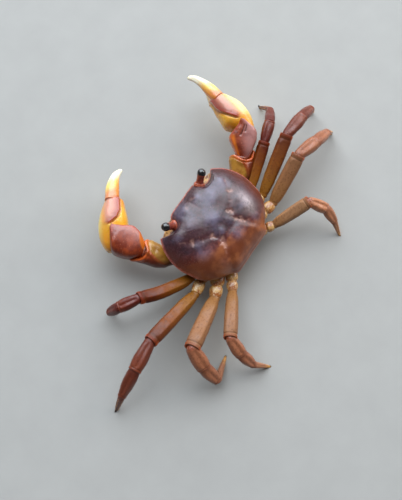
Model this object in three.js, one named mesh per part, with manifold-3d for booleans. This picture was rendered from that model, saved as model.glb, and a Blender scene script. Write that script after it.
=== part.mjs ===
// Freshwater crab, a still life-size model in a resting stance on level ground.
// Millimetres. +Z is up, the face looks along -Y and the animal's left side is +X.
import * as THREE from 'three';
import Module from 'manifold-3d';

const wasm = await Module();
wasm.setup();

// Overall sizes of the body
const DOME_HEIGHT = 5.7;
const FLANK_DEPTH = 3.4;
const BELLY_DEPTH = 6.3;
const RIM_HEIGHT = 10.5;
const BODY_PITCH = 12.7;
const GAP = 0.3;

// Where the edge of the shell runs on one side: [half width, distance back from the middle]
const SHELL_EDGE = [
  [0.0, -11.45], [1.9, -11.5], [3.6, -11.5], [5.1, -11.35], [5.8, -10.7], [6.6, -9.3],
  [7.8, -8.75], [9.4, -8.85], [10.6, -9.35], [11.5, -9.95], [12.5, -9.0], [13.8, -7.2],
  [14.8, -4.6], [15.25, -1.5], [14.85, 1.6], [14.2, 4.4], [12.6, 6.8], [10.4, 8.7],
  [8.1, 10.1], [6.5, 11.5], [3.3, 11.65], [0.0, 11.6],
];
// The same edge with the eye notches filled in, which the inner rings follow
const SHELL_EDGE_FILLED = SHELL_EDGE.map(([x, y], i) => {
  const fill = { 4: [6.5, -11.2], 5: [7.7, -11.0], 6: [8.8, -10.8], 7: [9.9, -10.5], 8: [10.8, -10.2] };
  return fill[i] ?? [x, y];
});

const rad = THREE.MathUtils.degToRad;

// Closed solid through a list of rings, each ring a list of Vector3
function loft(rings) {
  const count = rings[0].length;
  const positions = [];
  const index = [];
  for (const ring of rings) {
    for (const p of ring) {
      positions.push(p.x, p.y, p.z);
    }
  }
  for (let k = 0; k + 1 < rings.length; k += 1) {
    for (let j = 0; j < count; j += 1) {
      const a = k * count + j;
      const b = k * count + ((j + 1) % count);
      index.push(a, b, b + count);
      index.push(a, b + count, a + count);
    }
  }
  const ends = [rings[0], rings[rings.length - 1]];
  ends.forEach((ring, side) => {
    const middle = new THREE.Vector3();
    ring.forEach((p) => middle.add(p));
    middle.divideScalar(count);
    const centre = positions.length / 3;
    positions.push(middle.x, middle.y, middle.z);
    const start = side * (rings.length - 1) * count;
    for (let j = 0; j < count; j += 1) {
      const a = start + j;
      const b = start + ((j + 1) % count);
      index.push(centre, side ? a : b, side ? b : a);
    }
  });
  const geometry = new THREE.BufferGeometry();
  geometry.setAttribute('position', new THREE.Float32BufferAttribute(positions, 3));
  geometry.setIndex(index);
  return geometry;
}

function toSolid(geometry) {
  return new wasm.Manifold(new wasm.Mesh({
    numProp: 3,
    vertProperties: new Float32Array(geometry.attributes.position.array),
    triVerts: new Uint32Array(geometry.index.array),
  }));
}

// The largest single body of a cut solid
function mainBody(solid) {
  const bodies = solid.decompose();
  bodies.sort((a, b) => b.volume() - a.volume());
  return bodies[0];
}

function toGeometry(solid) {
  const mesh = solid.getMesh();
  const geometry = new THREE.BufferGeometry();
  geometry.setAttribute('position', new THREE.Float32BufferAttribute(mesh.vertProperties, 3));
  geometry.setIndex(Array.from(mesh.triVerts));
  geometry.computeVertexNormals();
  return geometry;
}

// Turn and place a shape whose long axis is +X: heading in plan, pitch upwards, roll about itself
function pose(at, heading, pitch, roll = 0) {
  const turn = new THREE.Euler(rad(roll), -rad(pitch), rad(heading), 'ZYX');
  const matrix = new THREE.Matrix4().makeRotationFromEuler(turn);
  return matrix.setPosition(at);
}

// Limb piece along +X. Each station: [distance, half width, half height, rise, side shift]
function limb(stations, sides, grow) {
  const rings = stations.map(([x, w, h, rise = 0, shift = 0], i) => {
    const end = i === stations.length - 1;
    const along = x + (end ? grow : 0) - (i === 0 ? grow : 0);
    const ring = [];
    for (let j = 0; j < sides; j += 1) {
      const t = (2 * Math.PI * (j + 0.5)) / sides;
      const y = shift + (w + grow) * Math.cos(t);
      const z = rise + (h + grow) * Math.sin(t);
      ring.push(new THREE.Vector3(along, y, z));
    }
    return ring;
  });
  return loft(rings);
}

// A placed limb piece kept both at its true size and grown by the joint gap
function piece(stations, matrix, sides = 10) {
  const exact = toSolid(limb(stations, sides, 0).applyMatrix4(matrix));
  const grown = toSolid(limb(stations, sides, GAP).applyMatrix4(matrix));
  return { exact, grown };
}

const group = new THREE.Group();
group.name = 'freshwater_crab';
const solids = new Map();
const colours = new Map();

// Room taken by the pieces already placed; every later piece gives way to it
const taken = [];

function touches(a, b) {
  const p = a.boundingBox();
  const q = b.boundingBox();
  return [0, 1, 2].every((i) => p.min[i] < q.max[i] && q.min[i] < p.max[i]);
}

function giveWay(solid) {
  return taken.filter((other) => touches(solid, other)).reduce((rest, other) => rest.subtract(other), solid);
}

function keep(name, part, colour) {
  solids.set(name, mainBody(giveWay(part.exact)));
  colours.set(name, colour);
  taken.push(part.grown);
}

const FLOOR_CORNERS = [[-90, -90], [90, -90], [90, 90], [-90, 90]];
const floorCut = toSolid(loft([-20, 0].map(
  (z) => FLOOR_CORNERS.map(([x, y]) => new THREE.Vector3(x, y, z)),
)));

// ---------------------------------------------------------------- body block
const bodyMatrix = new THREE.Matrix4().makeRotationX(-rad(BODY_PITCH));
bodyMatrix.setPosition(0, 0, RIM_HEIGHT);

// Whole closed outline, going round from the front by the left side
function outline(edge) {
  const left = edge.map(([x, y]) => new THREE.Vector2(x, y));
  const right = edge.slice(1, -1).reverse().map(([x, y]) => new THREE.Vector2(-x, y));
  return [...left, ...right];
}

const edgeTrue = outline(SHELL_EDGE);
const edgeFilled = outline(SHELL_EDGE_FILLED);

// Level ring of the body: scale toward the middle, share of the eye notches, height, lift at rear
function bodyRing(scale, notch, height, back = 0.6) {
  return edgeTrue.map((p, i) => {
    const x = THREE.MathUtils.lerp(edgeFilled[i].x, p.x, notch) * scale;
    const y = THREE.MathUtils.lerp(edgeFilled[i].y, p.y, notch) * scale + back * (1 - scale);
    return new THREE.Vector3(x, y, height);
  });
}

function body(rings) {
  return toSolid(loft(rings).applyMatrix4(bodyMatrix));
}

const shell = body([
  bodyRing(0.84, 0.0, -FLANK_DEPTH),
  bodyRing(0.9, 0.5, -FLANK_DEPTH + 1.5),
  bodyRing(0.95, 1.0, -0.8),
  bodyRing(0.985, 1.0, -0.3),
  bodyRing(1.0, 1.0, 0.0),
  bodyRing(0.985, 1.0, 0.35),
  bodyRing(0.94, 0.8, 1.35),
  bodyRing(0.84, 0.3, DOME_HEIGHT * 0.53),
  bodyRing(0.68, 0.0, DOME_HEIGHT * 0.78),
  bodyRing(0.42, 0.0, DOME_HEIGHT * 0.95),
]);

const chest = body([
  bodyRing(0.5, 0.0, -BELLY_DEPTH, 1.0),
  bodyRing(0.62, 0.0, -BELLY_DEPTH + 0.5, 1.0),
  bodyRing(0.72, 0.0, -BELLY_DEPTH + 1.5),
  bodyRing(0.78, 0.0, -FLANK_DEPTH - GAP),
].map((ring) => ring.filter((_, i) => i % 2 === 0)));

// Tail flap folded flat under the chest, narrow as in a male: [half width, distance back]
const FLAP_EDGE = [[0.9, -3.4], [1.5, -1.5], [2.2, 1.5], [3.6, 4.8], [4.3, 6.6], [3.2, 8.0]];
const FLAP_THICKNESS = 0.9;
const flapRing = (height, scale) => {
  const left = FLAP_EDGE.map(([x, y]) => new THREE.Vector3(x * scale, y, height));
  const right = [...FLAP_EDGE].reverse().map(([x, y]) => new THREE.Vector3(-x * scale, y, height));
  return [...left, ...right];
};
const flapTop = -BELLY_DEPTH - GAP;
const flap = {
  exact: body([
    flapRing(flapTop - FLAP_THICKNESS, 0.85),
    flapRing(flapTop - FLAP_THICKNESS * 0.4, 1.0),
    flapRing(flapTop, 1.0),
  ]),
  grown: body([flapRing(flapTop - 2 * FLAP_THICKNESS, 1.1), flapRing(flapTop + GAP, 1.1)]),
};
keep('abdomen', flap, 0xc9a06a);

// Pair of broad outer mouth plates, meeting on the midline, sloping under the face
const MOUTH_HALF_WIDTH = 4.6;
const mouthStations = [[0, 3.7, 0.6], [0.8, 4.3, 0.75], [3.4, MOUTH_HALF_WIDTH, 0.8], [6.2, 4.2, 0.8], [7.2, 3.3, 0.5]];
const mouthMatrix = bodyMatrix.clone().multiply(pose(new THREE.Vector3(0, -9.1, -2.1), 90, -31));
const mouth = piece(mouthStations, mouthMatrix, 12);
keep('mouthparts', mouth, 0xd8c9a4);

// ---------------------------------------------------------------- eyes and feelers
const EYE_STATIONS = [[0, 1.35, 1.1], [0.7, 1.35, 1.1], [1.1, 1.0, 0.95], [2.2, 0.95, 0.95], [3.0, 1.0, 1.0]];
const CORNEA_STATIONS = [[0, 1.05, 1.05], [0.3, 1.13, 1.13], [0.8, 1.04, 1.04], [1.2, 0.78, 0.78], [1.55, 0.4, 0.4]];
const FEELER_STATIONS = [[0, 0.5, 0.5], [0.9, 0.55, 0.55], [1.4, 0.34, 0.34], [2.4, 0.28, 0.28], [3.4, 0.26, 0.26]];

for (const [side, label] of [[1, 'left'], [-1, 'right']]) {
  const eyeAt = side > 0 ? new THREE.Vector3(6.5, -8.9, 0.8) : new THREE.Vector3(-5.75, -9.9, 0.9);
  const eyeTurn = side > 0 ? -40 : -150;
  const eyeMatrix = bodyMatrix.clone().multiply(pose(eyeAt, eyeTurn, 36));
  const corneaShift = new THREE.Matrix4().makeTranslation(3.0 + GAP, 0, 0);
  const stalk = piece(EYE_STATIONS, eyeMatrix, 10);
  const cornea = piece(CORNEA_STATIONS, eyeMatrix.clone().multiply(corneaShift), 10);
  const feelerAt = new THREE.Vector3(side * 5.4, -9.6, -1.5);
  const feelerMatrix = bodyMatrix.clone().multiply(pose(feelerAt, side > 0 ? -22 : -158, -4));
  const feeler = piece(FEELER_STATIONS, feelerMatrix, 6);
  keep(`eyestalk_${label}`, stalk, 0x7c3a22);
  solids.set(`cornea_${label}`, cornea.exact);
  colours.set(`cornea_${label}`, 0x0b0a0c);
  taken.push(cornea.grown);
  keep(`antenna_${label}`, feeler, 0x9a5a34);
}

// ---------------------------------------------------------------- walking legs
// Each leg: root in the chest, foot of the long joint, then for merus, carpus, propodus
// and dactylus the length, heading, pitch and roll, and the half widths of the long joint.
const LEGS = {
  left_2: {
    root: [9.2, -0.2, 5.8], base: [13.4, 1.9, 6.0], girth: 0.9, bow: 0.8,
    merus: [16.35, -29.6, 16.3], carpus: [5.66, -32.9, -10.2],
    propodus: [5.27, -48.3, -56.5], dactylus: [5.35, -155.3, -76.3],
  },
  left_3: {
    root: [9.4, 3.2, 5.3], base: [17.0, 4.9, 6.0], girth: 1.0,
    merus: [18.3, -6.3, 15.9], carpus: [8.24, 5.6, -8.4],
    propodus: [8.07, 4.1, -31.4], dactylus: [6.63, 2.8, -57.6],
  },
  left_4: {
    root: [8.8, 6.6, 4.9], base: [15.0, 9.6, 5.4], girth: 1.1,
    merus: [16.79, 11.4, 22.4], carpus: [6.42, 69.0, -34.1],
    propodus: [5.96, 85.5, -42.1], dactylus: [7.7, -164.3, -33.1],
  },
  left_5: {
    root: [6.4, 9.0, 4.7], base: [11.0, 12.4, 5.3], girth: 0.94,
    merus: [14.3, 30.3, 20.9], carpus: [5.53, 72.0, -32.8],
    propodus: [5.45, 91.4, -44.2], dactylus: [5.53, 123.7, -40.6],
  },
  right_2: {
    root: [-9.2, -0.2, 5.8], base: [-13.5, 1.4, 6.5], girth: 0.84,
    merus: [14.42, -163.5, 15.7], carpus: [5.78, -161.1, 10.0],
    propodus: [7.83, -152.4, -41.6], dactylus: [7.52, -111.9, -55.5],
  },
  right_3: {
    root: [-9.4, 3.2, 5.3], base: [-14.9, 4.8, 6.0], girth: 0.94,
    merus: [17.74, -169.0, 21.8], carpus: [7.66, 177.3, -12.1],
    propodus: [7.44, 179.6, -42.2], dactylus: [6.32, -180.0, -71.7],
  },
  right_4: {
    root: [-8.8, 6.6, 4.9], base: [-14.8, 8.2, 5.5], girth: 1.0,
    merus: [14.92, -176.1, 26.7], carpus: [6.86, 165.1, -10.1],
    propodus: [8.14, 175.6, -41.5], dactylus: [6.32, 172.0, -62.4],
  },
  right_5: {
    root: [-6.4, 9.0, 4.7], base: [-10.0, 11.6, 5.3], girth: 0.88,
    merus: [11.69, 152.4, 27.0], carpus: [5.54, 109.8, -28.0],
    propodus: [5.2, 82.9, -47.0], dactylus: [5.22, 70.8, -53.5],
  },
};

// Shapes along each joint: [share of the length, half width, half height, rise]
const MERUS = [[0, 1.15, 1.1], [0.1, 1.45, 1.32], [0.3, 1.8, 1.58], [0.62, 1.95, 1.65], [0.9, 1.95, 1.6], [1, 1.7, 1.4]];
const CARPUS = [[0, 1.4, 1.15], [0.3, 1.72, 1.38], [0.65, 1.9, 1.52], [1, 1.6, 1.25]];
const PROPODUS = [[0, 1.45, 1.08], [0.3, 1.68, 1.22], [0.6, 1.56, 1.16], [1, 1.1, 0.88]];
const DACTYLUS = [[0, 0.95, 0.8], [0.2, 0.85, 0.75], [0.6, 0.62, 0.6], [1, 0.4, 0.42], [1.12, 0.36, 0.38]];

function scaled(shape, length, girth, start = GAP, bow = 0) {
  return shape.map(([t, w, h, rise = 0, shift = 0]) => (
    [start + t * (length - start), w * girth, h * girth, rise, shift + bow * Math.sin(Math.PI * t)]
  ));
}

function between(from, to) {
  const d = new THREE.Vector3().subVectors(to, from);
  const heading = THREE.MathUtils.radToDeg(Math.atan2(d.y, d.x));
  const pitch = THREE.MathUtils.radToDeg(Math.asin(d.z / d.length()));
  return { length: d.length(), heading, pitch };
}

function along(from, length, heading, pitch) {
  const tip = new THREE.Vector3(length, 0, 0).applyMatrix4(pose(new THREE.Vector3(), heading, pitch));
  return tip.add(from);
}

for (const [label, leg] of Object.entries(LEGS)) {
  const root = new THREE.Vector3(...leg.root);
  const base = new THREE.Vector3(...leg.base);
  const hip = between(root, base);
  const coxaShape = [[0, 1.3, 1.3], [0.45, 1.4, 1.45], [0.8, 1.3, 1.25], [1, 1.1, 1.1]];
  const coxaStations = scaled(coxaShape, hip.length, leg.girth, 0);
  const coxa = piece(coxaStations, pose(root, hip.heading, hip.pitch), 8);
  keep(`coxa_${label}`, coxa, 0xdac79a);
  let at = base;
  const joints = [['merus', MERUS], ['carpus', CARPUS], ['propodus', PROPODUS], ['dactylus', DACTYLUS]];
  for (const [joint, shape] of joints) {
    const [length, heading, pitch] = leg[joint];
    const bow = joint === 'merus' ? leg.bow ?? 0 : 0;
    const next = piece(scaled(shape, length, leg.girth, GAP, bow), pose(at, heading, pitch), 8);
    if (joint === 'dactylus') {
      next.exact = next.exact.subtract(floorCut);
    }
    keep(`${joint}_${label}`, next, joint === 'dactylus' ? 0x6d3b22 : 0x9a5528);
    at = along(at, length, heading, pitch);
  }
}

// ---------------------------------------------------------------- pincers
// Joints from the chest outwards. The hand is a palm with its fixed finger, the thumb, in one
// piece; the finger is the movable one. Stations of the wrist, palm, thumb and finger are
// [distance, half width, half height, rise, shift outwards], all in the piece's own frame.
const PINCERS = {
  left: {
    root: [6.6, -4.6, 6.2], base: [12.4, -3.8, 6.4], knee: [15.6, -12.4, 8.6], cuff: [17.0, -20.8, 9.8],
    block: [
      [0.0, 1.7, 1.8, 0.0, 0.1], [0.9, 2.4, 2.3, 0.0, 0.15], [1.8, 3.2, 2.9, 0.0, 0.25], [3.0, 3.95, 3.4, 0.0, 0.1],
      [5.0, 4.5, 3.6, 0.1, 0.0], [6.5, 4.25, 3.6, 0.4, 0.3], [7.7, 3.6, 3.4, 0.9, 0.4], [8.6, 2.7, 2.7, 1.6, -0.05],
      [9.3, 1.8, 2.0, 2.3, -0.5], [10.2, 0.7, 0.8, 3.4, -1.15],
    ],
    wrist: [18.9, -20.4, 9.6], handHeading: -148.6,
    palm: [
      [-1.8, 1.3, 2.0, -0.6, 0.28], [-0.4, 2.3, 3.1, -0.7, 0.25], [1.5, 3.25, 3.8, -0.7, 0.05], [4.2, 3.9, 4.4, -0.45, -0.2],
      [6.8, 3.7, 4.5, -0.35, -0.2], [9.3, 3.05, 4.3, -0.4, -0.1], [11.1, 2.5, 4.0, -0.5, -0.15], [12.1, 2.0, 3.0, -1.5, 0.0],
    ],
    thumb: [[13.0, 1.7, 1.9, -2.6, 0.35], [14.6, 1.4, 1.5, -3.0, 0.85], [16.6, 1.05, 1.1, -3.4, 1.05], [18.2, 0.7, 0.7, -3.5, 0.75], [19.2, 0.4, 0.4, -3.4, 0.35]],
    fingerRoot: [11.75, 0.35, 2.0], fingerHeading: -4, fingerPitch: -20.5,
    finger: [
      [0.0, 1.85, 1.8, 0.0, 0.1], [1.5, 1.88, 1.82, 0.1, 0.28], [3.0, 1.76, 1.7, 0.35, 0.4], [4.7, 1.5, 1.45, 0.5, 0.45],
      [6.7, 1.18, 1.15, 0.45, 0.35], [7.8, 1.02, 0.98, 0.3, 0.12], [9.0, 0.75, 0.72, 0.05, -0.35], [9.9, 0.42, 0.42, 0.0, -0.68],
    ],
  },
  right: {
    root: [-6.6, -4.6, 6.2], base: [-13.2, -2.2, 6.6], knee: [-19.9, -5.4, 9.4], cuff: [-27.2, -9.0, 11.0],
    block: [
      [0.0, 1.6, 1.7, 0.0, 0.3], [0.8, 2.0, 2.2, 0.0, 0.4], [1.6, 2.45, 2.7, 0.0, 0.25], [3.0, 3.1, 3.3, 0.0, -0.05],
      [4.9, 3.8, 3.5, 0.1, -0.24], [6.8, 3.25, 3.4, 0.5, 0.15], [7.9, 2.5, 2.9, 1.1, 0.2], [8.6, 1.7, 2.1, 1.9, -0.2],
      [9.5, 0.7, 0.9, 3.1, -0.75],
    ],
    wrist: [-26.6, -8.2, 10.6], handHeading: -105.5,
    palm: [
      [-1.8, 1.3, 2.0, -0.6, 0.4], [-0.4, 2.1, 3.1, -0.7, 0.55], [1.9, 2.85, 3.8, -0.7, 0.85], [4.4, 3.9, 4.4, -0.45, 0.2],
      [7.0, 3.7, 4.5, -0.35, 0.35], [9.2, 3.2, 4.3, -0.4, 0.25], [11.0, 2.55, 4.0, -0.5, 0.1], [12.7, 1.9, 3.0, -1.5, -0.2],
    ],
    thumb: [[13.6, 1.6, 1.9, -2.7, 0.0], [15.0, 1.35, 1.4, -3.5, 0.5], [16.8, 1.0, 1.05, -4.0, 0.95], [18.4, 0.7, 0.7, -4.3, 1.1], [19.6, 0.4, 0.4, -4.3, 0.9]],
    fingerRoot: [12.45, 0.0, 2.0], fingerHeading: 4, fingerPitch: -15.5,
    finger: [
      [0.0, 1.72, 1.78, 0.0, 0.0], [2.0, 1.7, 1.75, 0.15, 0.1], [3.8, 1.5, 1.6, 0.35, 0.18], [5.6, 1.2, 1.35, 0.5, 0.2],
      [7.3, 0.98, 1.05, 0.45, 0.1], [8.5, 0.84, 0.84, 0.3, -0.1], [9.5, 0.6, 0.58, 0.1, -0.4], [10.3, 0.38, 0.38, 0.0, -0.68],
    ],
  },
};

for (const [side, claw] of Object.entries(PINCERS)) {
  const [root, base, knee, cuff, wrist] = [claw.root, claw.base, claw.knee, claw.cuff, claw.wrist]
    .map((p) => new THREE.Vector3(...p));
  // Outwards is +Y of a left-hand piece and -Y of a right-hand one
  const outwards = side === 'left' ? 1 : -1;
  const turned = (stations) => stations.map(([x, w, h, rise = 0, shift = 0]) => [x, w, h, rise, outwards * shift]);
  const hip = between(root, base);
  const coxaShape = [[0, 1.8, 1.7], [0.5, 2.0, 1.9], [1, 1.6, 1.6]];
  const coxa = piece(scaled(coxaShape, hip.length, 1, 0), pose(root, hip.heading, hip.pitch), 12);
  keep(`coxa_pincer_${side}`, coxa, 0xdab872);

  const arm = between(base, knee);
  const armShape = [
    [0, 1.3, 1.5], [0.18, 1.8, 2.0, 0, 0.1], [0.33, 2.6, 2.4, 0, 0.35], [0.58, 3.1, 2.6, 0, 0.4],
    [0.86, 3.25, 2.55, 0, 0.1], [1, 2.6, 2.1, 0, 0.15],
  ];
  const merus = piece(turned(scaled(armShape, arm.length, 1)), pose(base, arm.heading, arm.pitch), 10);
  keep(`merus_pincer_${side}`, merus, 0xb98a3a);

  const block = between(knee, cuff);
  const carpus = piece(turned(claw.block), pose(knee, block.heading, block.pitch), 12);
  keep(`carpus_pincer_${side}`, carpus, 0x9c3f22);

  const palmMatrix = pose(wrist, claw.handHeading, 0);
  const palm = piece(turned([...claw.palm, ...claw.thumb]), palmMatrix, 12);
  const fingerMatrix = pose(new THREE.Vector3(...claw.fingerRoot), claw.fingerHeading, claw.fingerPitch);
  const finger = piece(turned(claw.finger), palmMatrix.clone().multiply(fingerMatrix), 10);
  keep(`palm_${side}`, palm, 0xd9a04a);
  keep(`finger_${side}`, finger, 0xe6cf9a);
}

keep('carapace', { exact: shell, grown: shell }, 0x5a3540);
keep('thorax', { exact: chest, grown: chest }, 0xd7c69e);

// ---------------------------------------------------------------- placing
for (const [name, solid] of solids) {
  const material = new THREE.MeshStandardMaterial({ color: colours.get(name), roughness: 0.5 });
  material.name = name;
  const mesh = new THREE.Mesh(toGeometry(solid), material);
  mesh.name = name;
  group.add(mesh);
}

const box = new THREE.Box3().setFromObject(group);
const middle = box.getCenter(new THREE.Vector3());
for (const mesh of group.children) {
  mesh.geometry.translate(-middle.x, -middle.y, -box.min.z);
}

export default group;
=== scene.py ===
import math

import bpy
import numpy as np
from mathutils import Matrix, Vector


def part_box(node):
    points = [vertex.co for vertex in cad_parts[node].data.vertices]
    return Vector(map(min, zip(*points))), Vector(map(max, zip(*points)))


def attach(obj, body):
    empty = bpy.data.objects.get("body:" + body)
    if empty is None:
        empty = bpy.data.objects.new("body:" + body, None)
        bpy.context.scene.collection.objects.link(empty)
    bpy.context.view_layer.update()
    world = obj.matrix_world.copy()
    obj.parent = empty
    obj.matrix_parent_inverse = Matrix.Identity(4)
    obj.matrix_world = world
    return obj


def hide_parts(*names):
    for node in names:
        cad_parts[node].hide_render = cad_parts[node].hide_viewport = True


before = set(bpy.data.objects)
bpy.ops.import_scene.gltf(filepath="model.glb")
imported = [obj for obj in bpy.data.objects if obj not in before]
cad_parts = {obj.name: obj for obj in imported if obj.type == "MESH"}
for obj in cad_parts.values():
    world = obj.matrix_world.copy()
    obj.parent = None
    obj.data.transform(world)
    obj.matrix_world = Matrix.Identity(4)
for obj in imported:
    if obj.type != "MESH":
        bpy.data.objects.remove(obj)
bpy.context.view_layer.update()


# Back shell -------------------------------------------------------------------------
# The carapace is one plate of hard, lime-filled horn that covers the back, turns over a
# thin bead at its rim and runs on under the sides. It is plum in front and rusty behind,
# with pale scars where muscles are fixed to it inside.
MM = 0.001
SHELL_REAR = 11.365  # from the spot on the floor under the shell's middle, which is 0, 0, 0 below
shell_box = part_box("carapace")
SPOT = np.array([(shell_box[0][0] + shell_box[1][0]) / 2, shell_box[1][1] - SHELL_REAR * MM, 0.0])
BODY_PITCH = math.radians(12.7)
RIM_HEIGHT = 10.5
DOME_HEIGHT = 5.7
SHELL_CENTRE = np.array([0.0, 0.6])
HALF_EDGE = [
    (0.0, -11.45), (1.9, -11.52), (3.6, -11.5), (5.05, -11.3), (5.85, -10.6), (6.7, -9.35),
    (7.8, -8.75), (9.4, -8.85), (10.6, -9.35), (11.5, -9.95), (12.5, -9.0), (13.8, -7.2),
    (14.8, -4.6), (15.25, -1.5), (14.85, 1.6), (14.2, 4.4), (12.6, 6.8), (10.4, 8.7),
    (8.1, 10.1), (6.5, 11.5), (3.3, 11.65), (0.0, 11.6),
]  # half outline: millimetres to the left, and back from the spot
NOTCH_FILL = {4: (6.5, -11.2), 5: (7.7, -11.0), 6: (8.8, -10.8), 7: (9.9, -10.5), 8: (10.8, -10.2)}
FLANK_STEPS = [
    (0.80, 0.0, -3.5), (0.85, 0.0, -3.4), (0.895, 0.0, -2.8), (0.93, 0.0, -2.2), (0.955, 0.02, -1.85),
    (0.962, 0.1, -1.7), (0.95, 0.5, -1.65), (0.945, 0.85, -1.45), (0.955, 1.0, -1.0), (0.972, 1.0, -0.55),
    (0.988, 1.0, -0.25), (1.0, 1.0, 0.0),
]  # share of the outline, share of the eye notch, height: from the underside to the rim
GROOVES = [
    ([(10.2, -5.4), (8.6, -3.2), (6.6, -1.4), (4.4, -0.1), (3.5, 1.6), (3.5, 3.4)], 0.1, 0.8),
    ([(3.4, 2.4), (1.6, 2.9), (0.0, 2.8)], 0.07, 0.6),
    ([(3.5, 3.4), (4.6, 5.2), (5.6, 6.8)], 0.1, 0.8),
    ([(0.0, -11.2), (0.0, -8.8), (0.0, -6.6)], 0.1, 0.5),
    ([(8.7, -3.1), (10.4, -2.3), (12.2, -2.4)], 0.05, 0.8),
]  # left side: path, depth, half width
LOBES = [
    (2.3, -8.9, 0.24, 1.4), (4.7, -6.0, 0.34, 2.2), (0.0, -2.2, 0.26, 2.1), (0.0, 5.6, 0.3, 2.0),
    (9.3, 1.6, 0.36, 3.2), (9.6, -6.4, 0.2, 1.5), (7.4, 6.4, 0.18, 1.9), (1.6, 1.2, 0.14, 1.1),
]  # swellings over stomach, heart and gills: left, back, rise, half width
SCARS = [
    ([(8.3, -3.2), (8.7, -2.6)], 0.12, 0.46),
    ([(3.7, -0.3), (4.3, 0.2), (4.0, 0.9)], 0.14, 0.4),
    ([(3.0, 2.3), (3.6, 3.2), (4.2, 4.5)], 0.14, 0.4),
    ([(3.6, 3.2), (4.5, 3.1)], 0.1, 0.26),
    ([(4.9, 5.1), (5.3, 5.5)], 0.06, 0.34),
    ([(1.3, -9.5), (1.9, -9.0)], 0.05, 0.34),
    ([(6.1, -1.4), (6.5, -1.1)], 0.03, 0.26),
    ([(2.5, 1.2), (2.9, 1.6)], 0.03, 0.26),
    ([(10.2, -5.4), (9.3, -4.3)], 0.05, 0.18),
]  # left side: path, depth, half width
FULL_SCAR = 0.13  # a scar this deep is as pale as scars get
SHELL_LUMPS = [(0.08, 3.1, 1), (0.028, 1.3, 2), (0.01, 0.5, 3)]  # height, size, seed
PAINTED_SHEEN_SPOT = (-9.4, 2.4)  # a patch of painted pale sheen over the right gills
MEAN_REACH = 13.0  # from the middle of the shell to its rim
DOME_MIDDLE, DOME_SHOULDER = 2.6, 0.68  # powers: a flat middle, and shoulders that fall steeply
BEAD_RISE, BEAD_WIDTH, REAR_BEAD = 0.2, 0.26, 0.8  # the rear bead is that share of the front one
GUTTER_DEPTH, GUTTER_AT, GUTTER_WIDTH = 0.1, 0.7, 0.3  # the hollow inside the bead
NOTCH_MIDDLE, NOTCH_WIDTH = 8.3, 2.9


def tilt(points):
    """Body sizes, level along the shell's rim, brought to the raised-front stance."""
    x, y, z = np.moveaxis(np.asarray(points, float), -1, 0)
    back = y * math.cos(BODY_PITCH) + z * math.sin(BODY_PITCH)
    high = z * math.cos(BODY_PITCH) - y * math.sin(BODY_PITCH) + RIM_HEIGHT
    return np.stack([x, back, high], -1)


def body_out(ways):
    """Directions given level with the shell's rim, as they stand after the body's tilt."""
    return tilt(ways) - tilt((0, 0, 0))


def flow(points, steps, closed=False):
    """Smooth line through the points, with `steps` samples from each one to the next."""
    p = np.asarray(points, float)
    if closed:
        a, b, c, d = np.roll(p, 1, 0), p, np.roll(p, -1, 0), np.roll(p, -2, 0)
    else:
        run = np.vstack([2 * p[0] - p[1], p, 2 * p[-1] - p[-2]])
        a, b, c, d = run[:-3], run[1:-2], run[2:-1], run[3:]
    a, b, c, d = (v[:, None] for v in (a, b, c, d))
    t = (np.arange(steps) / steps)[None, :, None]
    line = 0.5 * (2 * b + (c - a) * t + (2 * a - 5 * b + 4 * c - d) * t**2 + (3 * b - a - 3 * c + d) * t**3)
    line = line.reshape(-1, p.shape[1])
    return line if closed else np.vstack([line, p[-1]])


def slope(value, low, high):
    """0 at low, 1 at high, an even slope between."""
    t = np.clip((value - low) / (high - low), 0, 1)
    return t * t * (3 - 2 * t)


def bell(value, width):
    return np.exp(-((value / width) ** 2))


def lumps(points, size, seed):
    """Random gentle heights from -1 to 1, one lump to every `size` millimetres."""
    cell = np.asarray(points, float) / size + seed * 7.31
    base = np.floor(cell)
    part = cell - base
    part = part * part * (3 - 2 * part)
    total = np.zeros(cell.shape[:-1])
    for corner in np.ndindex(2, 2, 2):
        spot = (base + corner) @ np.array([12.9898, 78.233, 37.719])
        chance = np.sin(spot) * 43758.5453
        share = np.prod(np.where(corner, part, 1 - part), axis=-1)
        total += share * (2 * (chance - np.floor(chance)) - 1)
    return total


def distance_to(points, lines):
    """Distance from every plan point to the nearest of the lines."""
    nearest = np.full(points.shape[:-1], 1e9)
    for line in lines:
        for start, end in zip(line[:-1], line[1:]):
            start, span = np.array(start), np.array(end) - np.array(start)
            t = np.clip(((points - start) @ span) / (span @ span), 0, 1)
            away = points - start - t[..., None] * span
            nearest = np.minimum(nearest, np.linalg.norm(away, axis=-1))
    return nearest


def skin(rings, fields, flip=False):
    """Points, faces and named numbers of a closed surface through rings."""
    count, around = rings.shape[:2]
    points = np.vstack([rings.reshape(-1, 3), rings[0].mean(0), rings[-1].mean(0)])
    k = np.arange(count - 1)[:, None] * around
    j = np.arange(around)[None, :]
    n = (j + 1) % around
    faces = np.stack([k + j, k + n, k + n + around, k + j + around], -1).reshape(-1, 4).tolist()
    low, high, last = count * around, count * around + 1, (count - 1) * around
    faces += [[low, int(b), int(a)] for a, b in zip(j[0], n[0])]
    faces += [[high, last + int(a), last + int(b)] for a, b in zip(j[0], n[0])]
    if flip:
        faces = [f[::-1] for f in faces]
    kept = {}
    for field, values in fields.items():
        values = np.broadcast_to(values, (count, around))
        kept[field] = np.concatenate([values.ravel(), [values[0].mean(), values[-1].mean()]])
    return points, faces, kept


def joined(parts):
    """Several skins as one."""
    points, faces, kept, first = [], [], {}, 0
    for p, f, fields in parts:
        points.append(p)
        faces += [[v + first for v in face] for face in f]
        for field, values in fields.items():
            kept.setdefault(field, []).append(values)
        first += len(p)
    return np.vstack(points), faces, {field: np.concatenate(v) for field, v in kept.items()}


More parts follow.
